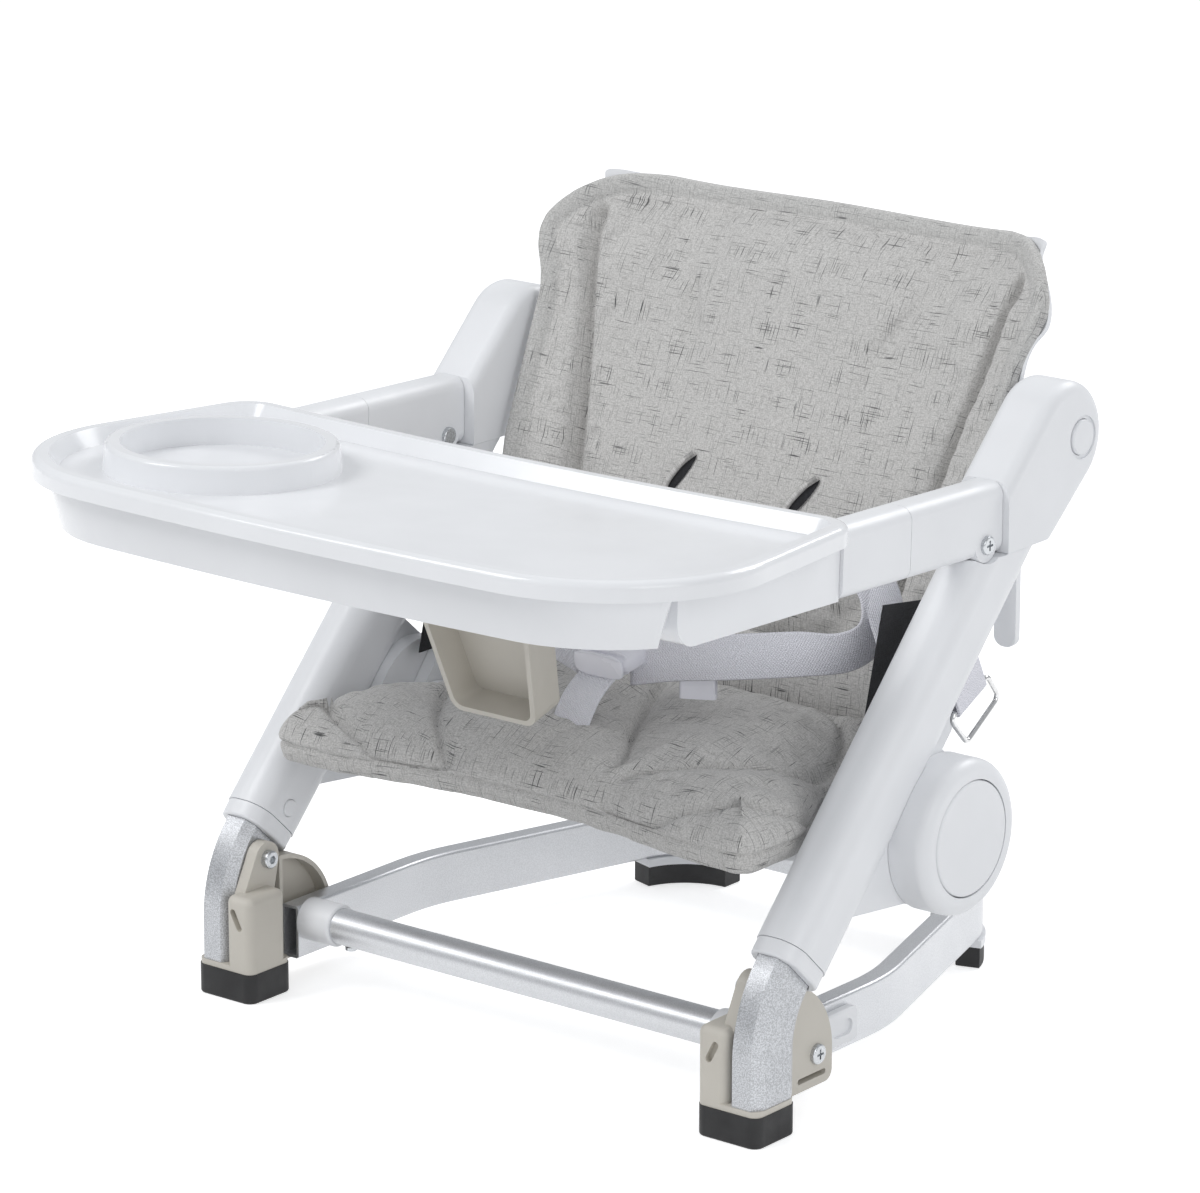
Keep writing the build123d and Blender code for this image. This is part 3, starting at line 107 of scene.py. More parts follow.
def ramp(tree, source, low, high, low_color, high_color):
    """Map a value between two colours."""
    made = node(tree, "ShaderNodeValToRGB")
    made.color_ramp.elements[0].position = low
    made.color_ramp.elements[0].color = (*low_color, 1)
    made.color_ramp.elements[1].position = high
    made.color_ramp.elements[1].color = (*high_color, 1)
    tree.links.new(source, made.inputs["Fac"])
    return made


def plastic(name, color, roughness, grain, grain_scale, spread=0.02):
    """Moulded plastic: a faint mottle, soft sheen changes and a fine skin."""
    mat, tree, shader = new_material(name)
    mottle = object_noise(tree, 14.0)
    dark = tuple(c * (1 - spread) for c in color)
    light = tuple(min(1.0, c * (1 + spread)) for c in color)
    tint = ramp(tree, mottle.outputs["Fac"], 0.35, 0.65, dark, light)
    tree.links.new(tint.outputs["Color"], shader.inputs["Base Color"])
    wear = object_noise(tree, 60.0, 4.0)
    gloss = ramp(tree, wear.outputs["Fac"], 0.3, 0.7, (roughness * 0.85,) * 3,
                 (roughness * 1.2,) * 3)
    tree.links.new(gloss.outputs["Color"], shader.inputs["Roughness"])
    skin = object_noise(tree, grain_scale, 2.0)
    bump_from(tree, shader, skin.outputs["Fac"], grain, 0.0002)
    return mat


def metal_paint(name, color, roughness, sparkle):
    """Silver powder coat with fine flakes."""
    mat, tree, shader = new_material(name)
    shader.inputs["Metallic"].default_value = 0.75
    flakes = object_noise(tree, 1500.0, 1.0)
    dark = tuple(c * (1 - sparkle) for c in color)
    light = tuple(min(1.0, c * (1 + sparkle)) for c in color)
    tint = ramp(tree, flakes.outputs["Fac"], 0.38, 0.62, dark, light)
    tree.links.new(tint.outputs["Color"], shader.inputs["Base Color"])
    cloud = object_noise(tree, 40.0, 3.0)
    gloss = ramp(tree, cloud.outputs["Fac"], 0.3, 0.7, (roughness * 0.9,) * 3,
                 (roughness * 1.15,) * 3)
    tree.links.new(gloss.outputs["Color"], shader.inputs["Roughness"])
    bump_from(tree, shader, flakes.outputs["Fac"], 0.12, 0.0002)
    return mat


def bare_metal(name, color, roughness):
    """Plated steel with fine scratches."""
    mat, tree, shader = new_material(name)
    shader.inputs["Metallic"].default_value = 1.0
    lines = object_noise(tree, 700.0, 4.0)
    tint = ramp(tree, lines.outputs["Fac"], 0.3, 0.7, tuple(c * 0.85 for c in color), color)
    tree.links.new(tint.outputs["Color"], shader.inputs["Base Color"])
    gloss = ramp(tree, lines.outputs["Fac"], 0.3, 0.7, (roughness * 0.7,) * 3,
                 (roughness * 1.4,) * 3)
    tree.links.new(gloss.outputs["Color"], shader.inputs["Roughness"])
    return mat


def stretched_noise(tree, uv, across, along, detail=2.0):
    """Noise on the cloth's own coordinates, with threads of the given width and length."""
    mapping = node(tree, "ShaderNodeMapping")
    mapping.inputs["Scale"].default_value = (1 / across, 1 / along, 1)
    tree.links.new(uv, mapping.inputs["Vector"])
    made = node(tree, "ShaderNodeTexNoise", noise_dimensions="2D")
    made.inputs["Scale"].default_value = 1.0
    made.inputs["Detail"].default_value = detail
    tree.links.new(mapping.outputs["Vector"], made.inputs["Vector"])
    return made.outputs["Fac"]


def math_node(tree, operation, a, b):
    """A Math node on two sockets or numbers."""
    made = node(tree, "ShaderNodeMath", operation=operation)
    for socket, value in ((made.inputs[0], a), (made.inputs[1], b)):
        if isinstance(value, (int, float)):
            socket.default_value = value
        else:
            tree.links.new(value, socket)
    return made.outputs[0]


def mix_color(tree, factor, a, b):
    """Mix two colours, sockets or tuples, by a factor."""
    made = node(tree, "ShaderNodeMix", data_type="RGBA")
    for socket, value in ((made.inputs[0], factor), (made.inputs[6], a), (made.inputs[7], b)):
        if isinstance(value, tuple):
            socket.default_value = (*value, 1)
        elif isinstance(value, (int, float)):
            socket.default_value = value
        else:
            tree.links.new(value, socket)
    return made.outputs[2]


def melange(name, pale, mid, slub):
    """Linen-look cloth: mottled warp and weft with long dark slubs both ways."""
    mat, tree, shader = new_material(name)
    uv = node(tree, "ShaderNodeUVMap", uv_map="weave").outputs["UV"]
    warp = stretched_noise(tree, uv, 0.0004, 0.0035)
    weft = stretched_noise(tree, uv, 0.0035, 0.0004)
    threads = math_node(tree, "ADD", warp, weft)
    speckle = stretched_noise(tree, uv, 0.0009, 0.0009, 1.0)
    fine = math_node(tree, "MULTIPLY", math_node(tree, "ADD", threads, speckle), 1 / 3)
    body = ramp(tree, fine, 0.36, 0.60, mid, pale)
    long_warp = stretched_noise(tree, uv, 0.00055, 0.020, 0.0)
    long_weft = stretched_noise(tree, uv, 0.020, 0.00055, 0.0)
    strong = math_node(tree, "MAXIMUM", long_warp, long_weft)
    slubs = ramp(tree, strong, 0.76, 0.81, (0, 0, 0), (1, 1, 1))
    patch = stretched_noise(tree, uv, 0.02, 0.02, 2.0)
    where = ramp(tree, patch, 0.30, 0.60, (0.25, 0.25, 0.25), (1, 1, 1))
    amount = math_node(tree, "MULTIPLY", slubs.outputs["Color"], where.outputs["Color"])
    color = mix_color(tree, amount, body.outputs["Color"], slub)
    tree.links.new(color, shader.inputs["Base Color"])
    shader.inputs["Roughness"].default_value = 0.9
    shader.inputs["Specular IOR Level"].default_value = 0.2
    shader.inputs["Sheen Weight"].default_value = 0.15
    bump_from(tree, shader, fine, 0.5, 0.0004)
    return mat


def webbing_material(name, color):
    """Polyester webbing: rows of bead-like ribs along the tape."""
    mat, tree, shader = new_material(name)
    uv = node(tree, "ShaderNodeUVMap", uv_map="weave").outputs["UV"]
    split = node(tree, "ShaderNodeSeparateXYZ")
    tree.links.new(uv, split.inputs["Vector"])
    rows = math_node(tree, "SINE", math_node(tree, "MULTIPLY", split.outputs["Y"],
                                             2 * pi / 0.0016), 0.0)
    columns = math_node(tree, "SINE", math_node(tree, "MULTIPLY", split.outputs["X"],
                                                2 * pi / 0.0021), 0.0)
    beads = math_node(tree, "MULTIPLY", rows, columns)
    height = math_node(tree, "MULTIPLY_ADD", beads, 0.5)
    # Painted shade: the tape's colour is darker where the bead pattern is low, in the hollows
    # between the beads.
    tint = ramp(tree, math_node(tree, "ADD", height, 0.5), 0.2, 0.8,
                tuple(c * 0.86 for c in color), color)
    tree.links.new(tint.outputs["Color"], shader.inputs["Base Color"])
    shader.inputs["Roughness"].default_value = 0.6
    shader.inputs["Sheen Weight"].default_value = 0.2
    bump_from(tree, shader, beads, 0.6, 0.0004)
    return mat


WHITE = plastic("white_shell", (0.83, 0.84, 0.86), 0.36, 0.10, 900.0)
TRAY_WHITE = plastic("tray_white", (0.84, 0.85, 0.87), 0.16, 0.03, 300.0)
GREIGE = plastic("greige_nylon", (0.60, 0.57, 0.51), 0.48, 0.25, 1400.0, 0.03)
SILVER = metal_paint("silver_coat", (0.50, 0.51, 0.53), 0.40, 0.22)
ALUMINIUM = metal_paint("frame_coat", (0.66, 0.67, 0.69), 0.36, 0.06)
RUBBER = plastic("foot_rubber", (0.012, 0.012, 0.013), 0.55, 0.3, 700.0, 0.1)
STEEL = bare_metal("zinc_steel", (0.62, 0.64, 0.66), 0.28)
CHROME = bare_metal("ring_wire", (0.72, 0.72, 0.72), 0.14)
CLOTH = melange("melange_cloth", (0.66, 0.65, 0.635), (0.42, 0.413, 0.40), (0.11, 0.11, 0.11))
BINDING = melange("binding_cloth", (0.62, 0.615, 0.60), (0.40, 0.395, 0.385), (0.20, 0.20, 0.20))
# Near-black melange: on the buttonholes it is painted shade; it also colours the back pad's lower
# corners and the seat's side sheets near-black.
NEAR_BLACK = melange("near_black_melange", (0.030, 0.030, 0.034), (0.016, 0.016, 0.018), (0.01, 0.01, 0.01))
TAPE = webbing_material("white_webbing", (0.82, 0.82, 0.88))
BUCKLE_WHITE = plastic("buckle_white", (0.80, 0.80, 0.86), 0.25, 0.05, 900.0)

NODE_LOOK = {
    "leg_tube": SILVER, "leg_top_plug": WHITE, "foot_cap": RUBBER, "rear_pad": RUBBER,
    "foot_bracket": GREIGE, "hinge_cheek": GREIGE, "release_handle": GREIGE,
    "frame_tube": ALUMINIUM, "crossbar": ALUMINIUM, "crossbar_collar": WHITE,
    "crossbar_screw": STEEL, "bracket_screw": STEEL, "frame_pivot_screw": STEEL,
    "arm_screw": STEEL, "arm_rail": STEEL, "hub_pin": STEEL, "wire_ring": CHROME,
    "tray_base": TRAY_WHITE, "tray_cover": TRAY_WHITE, "strap_adjuster": BUCKLE_WHITE,
}


def dress_nodes():
    """Give each CAD node that is shown its material; the longest matching name wins."""
    for name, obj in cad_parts.items():
        keys = [k for k in NODE_LOOK if name.startswith(k)]
        look = NODE_LOOK[max(keys, key=len)] if keys else WHITE
        obj.data.materials.clear()
        obj.data.materials.append(look)


# ================= mesh helpers =================
def shade_smooth(obj):
    """Smooth shading on every face."""
    obj.data.polygons.foreach_set("use_smooth", [True] * len(obj.data.polygons))


def surface_tree(obj):
    """The object's faces, for casting rays onto."""
    mesh = obj.data
    return BVHTree.FromPolygons([v.co for v in mesh.vertices],
                                [tuple(p.vertices) for p in mesh.polygons])


def make_object(name, verts, faces, material, smooth=True):
    """A mesh object from points and faces."""
    mesh = bpy.data.meshes.new(name)
    mesh.from_pydata([tuple(v) for v in verts], [], faces)
    mesh.validate()
    obj = bpy.data.objects.new(name, mesh)
    scene.collection.objects.link(obj)
    obj.data.materials.append(material)
    if smooth:
        shade_smooth(obj)
    return obj


def box_weave(obj, up):
    """UV map in metres: each face is seen square on, with v along the up direction."""
    mesh = obj.data
    layer = mesh.uv_layers.new(name="weave")
    up = Vector(up).normalized()
    out = Vector((1, 0, 0)).cross(up).normalized()
    for poly in mesh.polygons:
        n = poly.normal
        parts = (abs(n.x), abs(n.dot(up)), abs(n.dot(out)))
        axis = parts.index(max(parts))
        for loop in poly.loop_indices:
            co = mesh.vertices[mesh.loops[loop].vertex_index].co
            a, b, c = co.x, co.dot(up), co.dot(out)
            layer.data[loop].uv = ((c, b), (a, c), (a, b))[axis]
    return obj


def copy_node(node_name, name):
    """A new object with a CAD node's mesh, its doubled points joined."""
    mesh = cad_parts[node_name].data.copy()
    obj = bpy.data.objects.new(name, mesh)
    scene.collection.objects.link(obj)
    bm = bmesh.new()
    bm.from_mesh(mesh)
    bmesh.ops.remove_doubles(bm, verts=bm.verts, dist=1e-5)
    bm.to_mesh(mesh)
    bm.free()
    return obj


def apply_modifiers(obj):
    """Bake the object's modifiers into its mesh."""
    graph = bpy.context.evaluated_depsgraph_get()
    baked = bpy.data.meshes.new_from_object(obj.evaluated_get(graph), depsgraph=graph)
    obj.modifiers.clear()
    obj.data = baked


def remesh(obj, voxel):
    """Even quads all over a closed mesh."""
    mod = obj.modifiers.new("remesh", "REMESH")
    mod.mode = "VOXEL"
    mod.voxel_size = voxel
    apply_modifiers(obj)


def inflate(obj, pins, pressure, cap, spare=-0.03, frames=20):
    """Blow a closed cloth up between the pinned vertices, no point moving more than cap."""
    start = np.array([v.co for v in obj.data.vertices])
    group = obj.vertex_groups.new(name="pin")
    group.add([int(i) for i in np.nonzero(pins)[0]], 1.0, "REPLACE")
    mod = obj.modifiers.new("cloth", "CLOTH")
    cloth = mod.settings
    cloth.quality = 6
    cloth.mass = 0.25
    cloth.tension_stiffness = 20
    cloth.compression_stiffness = 20
    cloth.shear_stiffness = 8
    cloth.bending_stiffness = 0.3
    cloth.use_pressure = True
    cloth.uniform_pressure_force = pressure
    cloth.shrink_min = spare
    cloth.effector_weights.gravity = 0
    cloth.vertex_group_mass = "pin"
    cloth.pin_stiffness = 1.0
    mod.collision_settings.use_collision = False
    mod.point_cache.frame_start = 1
    mod.point_cache.frame_end = frames
    for f in range(1, frames + 1):
        scene.frame_set(f)
    apply_modifiers(obj)
    scene.frame_set(1)
    moved = np.array([v.co for v in obj.data.vertices])
    shift = moved - start
    size = np.linalg.norm(shift, axis=1, keepdims=True)
    shift *= np.minimum(1.0, cap / np.maximum(size, 1e-9))
    obj.data.vertices.foreach_set("co", (start + shift).ravel())
    obj.vertex_groups.clear()


def subdivide(obj):
    """One level of smooth subdivision, applied."""
    mod = obj.modifiers.new("subdivide", "SUBSURF")
    mod.levels = 1
    mod.render_levels = 1
    apply_modifiers(obj)


def path_distance(points, path):
    """Distance of each point from a polyline, both as arrays."""
    best = np.full(len(points), 1e9)
    for a, b in zip(path[:-1], path[1:]):
        ab = b - a
        t = np.clip(((points - a) @ ab) / max(ab @ ab, 1e-12), 0, 1)
        best = np.minimum(best, np.linalg.norm(points - (a + t[:, None] * ab), axis=1))
    return best


def smooth_path(points, steps=12):
    """Catmull-Rom curve through the points."""
    pts = [Vector(p) for p in points]
    pts = [pts[0] * 2 - pts[1]] + pts + [pts[-1] * 2 - pts[-2]]
    out = []
    for p0, p1, p2, p3 in zip(pts, pts[1:], pts[2:], pts[3:]):
        for k in range(steps):
            t = k / steps
            out.append(0.5 * ((2 * p1) + (p2 - p0) * t + (2 * p0 - 5 * p1 + 4 * p2 - p3) * t * t
                              + (3 * p1 - p0 - 3 * p2 + p3) * t ** 3))
    out.append(pts[-2])
    return out


def finish_soft(obj, body):
    """Put a soft piece on its body."""
    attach(obj, body)


# ================= soft parts =================
def strip(name, points, sides, width, material, thickness=0.0016, steps=10):
    """A flat tape along a smooth path; each point has the direction of its width."""
    path = smooth_path(points, steps)
    lean = smooth_path(sides, steps)
    bm = bmesh.new()
    layer = bm.loops.layers.uv.new("weave")
    rows = []
    run = 0.0
    profile = [(-0.5, 0.0), (-0.46, 0.5), (0.46, 0.5), (0.5, 0.0), (0.46, -0.5), (-0.46, -0.5)]
    for k, here in enumerate(path):
        ahead = path[min(k + 1, len(path) - 1)] - path[max(k - 1, 0)]
        side = lean[k].normalized()
        normal = ahead.cross(side).normalized()
        run += (here - path[max(k - 1, 0)]).length
        ring = [bm.verts.new(here + side * a * width + normal * b * thickness)
                for a, b in profile]
        rows.append((ring, run))
    for (low, v0), (high, v1) in zip(rows[:-1], rows[1:]):
        for i in range(len(profile)):
            j = (i + 1) % len(profile)
            face = bm.faces.new((low[i], low[j], high[j], high[i]))
            for loop, (col, v) in zip(face.loops, ((i, v0), (j, v0), (j, v1), (i, v1))):
                loop[layer].uv = (profile[col][0] * width, v)
    for ring in (rows[0][0], rows[-1][0]):
        bm.faces.new(ring)
    bmesh.ops.recalc_face_normals(bm, faces=bm.faces)
    mesh = bpy.data.meshes.new(name)
    bm.to_mesh(mesh)
    bm.free()
    obj = bpy.data.objects.new(name, mesh)
    scene.collection.objects.link(obj)
    mesh.materials.append(material)
    shade_smooth(obj)
    return obj


def smoothstep(x):
    """Ease from 0 to 1 as x goes from 0 to 1."""
    x = np.clip(x, 0, 1)
    return x * x * (3 - 2 * x)


def wobble(points, seed):
    """Smooth noise, one value from -1 to 1 for each point."""
    shift = Vector((seed * 7.3, seed * 3.1, seed * 5.7))
    return np.array([noise.noise(Vector(p) + shift) for p in points])


# ---- the backrest pad, built in the back's own axes: across, up the back, out of it ----
BACK_EDGE = [(0.024, 0.144), (0.030, 0.150), (0.070, 0.156), (0.120, 0.162), (0.205, 0.1625),
             (0.216, 0.165), (0.228, 0.170), (0.238, 0.1725), (0.247, 0.171), (0.256, 0.166),
             (0.265, 0.159), (0.274, 0.149), (0.280, 0.139), (0.284, 0.126), (0.286, 0.110)]
BACK_TOP = BACK_EDGE[-1][0]
TAPE_WIDTH = 0.0125
EDGE_THICK = 0.0075
PAD_THICK = 0.0175
PAD_COLUMNS, PAD_ROWS = 132, 104
CREASE_FOOT, CREASE_SPREAD = 0.0985, 0.173
CREASE_DEPTH, CREASE_SOFTNESS = 0.011, 0.0030
# The back pad's faces below this height and beyond this half-width are coloured near-black.
NEAR_BLACK_UP, NEAR_BLACK_FROM = 0.052, 0.108
SHELL_HALF = 0.168
SHELL_PROBE_UP = 0.2375
PROBE_OUT = 0.09
SLIT_X, SLIT_UP = 0.041, 0.118
SLIT_SPAN_X, SLIT_SPAN_UP = 0.016, 0.026
SLIT_STEPS = 12
CLOTH_PRESSURE = 3.0


def back_half(up):
    """Half-width of the backrest at a height up the back."""
    ups, halves = zip(*BACK_EDGE)
    return np.interp(up, ups, halves)


def back_place(x, up, out):
    """World place of a point given in the back's axes."""
    x, up, out = np.broadcast_arrays(x, up, out)
    base = np.array(BACK_FOOT)
    return (base + np.multiply.outer(up, np.array(BACK_UP))
            + np.multiply.outer(out, np.array(BACK_OUT))
            + np.multiply.outer(x, np.array((1.0, 0, 0))))


def shell_depth():
    """How far the shell's wings come forward, read across it at one height."""
    tree = surface_tree(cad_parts["back_shell"])
    xs = np.linspace(0, SHELL_HALF, 57)
    depths = []
    for x in xs:
        start = Vector(back_place(x, SHELL_PROBE_UP, PROBE_OUT))
        hit = tree.ray_cast(start, -BACK_OUT)[0]
        depths.append((hit - BACK_FOOT).dot(BACK_OUT) if hit else depths[-1])
    return xs, np.array(depths)


def crease_half(up):
    """Half-width of the middle panel at a height up the back."""
    return CREASE_FOOT + CREASE_SPREAD * up


def edge_distance(x, up):
    """Distance in from the outline of the back."""
    ups, halves = (np.array(c) for c in zip(*BACK_EDGE))
    right = np.stack([halves, ups], axis=1)
    left = right[::-1] * np.array((-1, 1))
    loop = np.concatenate([right, left, right[:1]])
    return path_distance(np.stack([x.ravel(), up.ravel()], axis=1), loop).reshape(x.shape)


def pad_profile(x, up):
    """Height of the pad's front over the shell, at rest and before any sewing."""
    d = edge_distance(x, up)
    corner = smoothstep((np.abs(x) - 0.10) / 0.05) * smoothstep((up - 0.21) / 0.06)
    body = PAD_THICK - 0.007 * corner
    height = EDGE_THICK * np.sqrt(np.clip(1 - (1 - np.clip(d / 0.005, 0, 1)) ** 2, 0, 1))
    height += (body - EDGE_THICK) * smoothstep((d - TAPE_WIDTH) / 0.022)
    half = crease_half(up)
    height += 0.0022 * np.clip(1 - (x / half) ** 2, 0, 1)
    wing = np.clip((np.abs(x) - half) / 0.045, 0, 1)
    height += 0.003 * np.sin(pi * wing) * smoothstep((0.26 - up) / 0.05)
    return d, height


def pad_grid(columns, rows):
    """Grid of places over the pad: across and up."""
    ups = np.linspace(BACK_EDGE[0][0], BACK_EDGE[-1][0], rows)
    ups = ups + 0.006 * np.sin(np.linspace(0, pi, rows)) * np.linspace(-1, 1, rows)
    share = np.linspace(-1, 1, columns)
    share = share + 0.02 * np.sin(pi * share)
    x = share[None, :] * back_half(ups)[:, None]
    return x, np.repeat(ups[:, None], columns, axis=1)


def back_pad():
    """The padded cloth of the backrest, with its bound edge and its dark lower corners."""
    columns, rows = PAD_COLUMNS, PAD_ROWS
    x, up = pad_grid(columns, rows)
    wing_x, wing_out = shell_depth()
    rear = np.interp(np.abs(x), wing_x, wing_out) + 0.0006
    d, height = pad_profile(x, up)
    front = back_place(x, up, rear + height).reshape(-1, 3)
    behind = back_place(x, up, rear).reshape(-1, 3)
    index = np.arange(rows * columns).reshape(rows, columns)
    inner = index[1:-1, 1:-1].ravel()
    back_index = index.copy().ravel()
    back_index[inner] = rows * columns + np.arange(len(inner))
    back_index = back_index.reshape(rows, columns)
    verts = np.concatenate([front, behind[inner]])
    faces = []
    for r in range(rows - 1):
        for c in range(columns - 1):
            faces.append((index[r, c], index[r, c + 1], index[r + 1, c + 1], index[r + 1, c]))
            faces.append((back_index[r + 1, c], back_index[r + 1, c + 1],
                          back_index[r, c + 1], back_index[r, c]))
    pad = make_object("back_pad", verts, faces, CLOTH)
    flat_x, flat_up, flat_d = x.ravel(), up.ravel(), d.ravel()
    pins = np.ones(len(verts), dtype=bool)
    loose = (flat_d > TAPE_WIDTH + 0.004)
    loose &= np.abs(np.abs(flat_x) - crease_half(flat_up)) > 0.005
    pins[:rows * columns] = ~loose
    inflate(pad, pins, CLOTH_PRESSURE, 0.006)
    co = np.array([v.co for v in pad.data.vertices])
    sew = back_sewing(flat_x, flat_up, flat_d)
    co[:rows * columns] += sew[:, None] * np.array(BACK_OUT)
    pad.data.vertices.foreach_set("co", co.ravel())
    pad.data.materials.append(BINDING)
    pad.data.materials.append(NEAR_BLACK)
    for poly in pad.data.polygons:
        mid = np.array(poly.vertices)
        if mid.max() < rows * columns:
            place = flat_d[mid].mean()
            # Faces low on the back and far out to the sides take the near-black material.
            low = flat_up[mid].mean() < NEAR_BLACK_UP and np.abs(flat_x[mid]).mean() > NEAR_BLACK_FROM
            poly.material_index = 2 if low else int(place < TAPE_WIDTH)
        else:
            poly.material_index = 1
    subdivide(pad)
    box_weave(pad, BACK_UP)
    shade_smooth(pad)
    finish_soft(pad, "backrest")
    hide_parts("back_cushion")
    return pad


def back_sewing(x, up, d):
    """Creases, the tape's seam, gathers and loose waves of the cloth, as a shift outwards."""
    inside = smoothstep((d - TAPE_WIDTH) / 0.006)
    gap = np.abs(x) - crease_half(up)
    shift = -CREASE_DEPTH * np.exp(-(gap / CREASE_SOFTNESS) ** 2) * inside
    shift -= 0.0022 * np.exp(-((d - TAPE_WIDTH) / 0.0014) ** 2)
    waves = wobble(np.stack([x * 26, up * 7, x * 0], axis=1), 1)
    shift += 0.0022 * waves * inside
    small = wobble(np.stack([x * 60, up * 20, x * 0], axis=1), 2)
    shift += 0.0008 * small * inside
    gathers = wobble(np.stack([x / 0.006, up / 0.03, x * 0], axis=1), 3)
    near_top = np.exp(-np.clip(BACK_TOP - up - TAPE_WIDTH, 0, 1) / 0.014) * inside
    shift += 0.0022 * gathers * near_top
    puckers = wobble(np.stack([x / 0.04, up / 0.006, x * 0], axis=1), 4)
    near_side = np.exp(-np.clip(d - TAPE_WIDTH, 0, 1) / 0.010) * inside * (1 - near_top)
    shift += 0.0012 * puckers * near_side
    pulls = wobble(np.stack([x / 0.05, up / 0.008, x * 0], axis=1), 5)
    shift += 0.0011 * pulls * np.exp(-(np.abs(gap) / 0.012) ** 2) * inside
    return shift


def back_slits(pad):
    """The two buttonholes for shoulder straps: a dark slanted opening under a folded lip; the
    opening's darkness is painted shade.
    """
    tree = surface_tree(pad)
    for side, name in ((1, "left"), (-1, "right")):
        dark, lip = [], []
        for k in range(SLIT_STEPS + 1):
            t = k / SLIT_STEPS
            x = side * SLIT_X + SLIT_SPAN_X * (t - 0.5)
            up = SLIT_UP + SLIT_SPAN_UP * (t - 0.5)
            start = Vector(back_place(x, up, PROBE_OUT))
            hit = tree.ray_cast(start, -BACK_OUT)[0] + BACK_OUT * 0.0007
            across = (Vector((1, 0, 0)) * SLIT_SPAN_UP - BACK_UP * SLIT_SPAN_X).normalized()
            half = 0.0026 * sin(pi * t) ** 0.6 + 0.0002
            dark.append((hit - across * half, hit + across * half))
            lip.append(hit - across * (half + 0.0012) + BACK_OUT * 0.0006)
        # Painted shade: the opening is a near-black strip laid on the cloth, standing for the
        # shade inside the slit; no hole is cut.
        verts = [v for pair in dark for v in pair]
        faces = [(2 * k, 2 * k + 1, 2 * k + 3, 2 * k + 2) for k in range(SLIT_STEPS)]
        hole = make_object("buttonhole_" + name, verts, faces, NEAR_BLACK)
        box_weave(hole, BACK_UP)
        finish_soft(hole, "backrest")
        fold = strip("buttonhole_lip_" + name, lip[::3], [BACK_OUT] * 5, 0.0032, CLOTH, 0.0026, 4)
        finish_soft(fold, "backrest")


# ---- the seat pad ----
SEAM_UP = 0.011
PUFF_REACH = 0.040
SEAT_VOXEL = 0.004
REAR_RISE = 0.013
REAR_START, REAR_END = at(0, 122, 0).y, at(0, 190, 0).y


def seat_outline():
    """Plan of the seat cushion: drawn half by half, as wide as its CAD node."""
    half = (seat_high.x - seat_low.x) / 2 * 1000
    plan = [(0, 44), (60, 40), (112, 30), (half - 13, 28.4), (half - 4, 32), (half, 41),
            (half, 76), (151, 101), (140, 121), (137, 135), (137, 190), (131, 196)]
    right = [at(x, y, 0) for x, y in plan]
    right = smooth_path(right, 5)
    left = [Vector((-p.x, p.y, 0)) for p in reversed(right)]
    return np.array([tuple(p)[:2] for p in right + left + right[:1]])


def nearest_on(points, loop):
    """Nearest place on a closed polyline, and its distance, for each plan point."""
    best = np.full(len(points), 1e9)
    place = np.zeros_like(points)
    for a, b in zip(loop[:-1], loop[1:]):
        ab = b - a
        t = np.clip(((points - a) @ ab) / max(ab @ ab, 1e-12), 0, 1)
        q = a + t[:, None] * ab
        dist = np.linalg.norm(points - q, axis=1)
        closer = dist < best
        best = np.where(closer, dist, best)
        place[closer] = q[closer]
    return place, best


def seat_seams():
    """Sewn lines on the top: the thigh lobes, the middle panel and its fold by the strap."""
    lobe = [(55, 44), (75, 38), (99, 37), (140, 52), (157, 84), (150, 112)]
    panel = [(62, 58), (98, 84), (122, 112), (130, 140), (122, 166), (96, 182)]
    crescent = [(50, 45), (72, 62), (99, 100), (112, 132), (108, 165)]
    fold = [(-2, 170), (8, 142), (21, 116), (38, 88), (50, 66)]
    mirrored = [(-x, y) for x, y in crescent]
    other = [(-x, y) for x, y in lobe]
    lines = [lobe, other, panel, mirrored, fold]
    return [np.array(smooth_path([at(x, y, 0) for x, y in line], 5)) for line in lines]


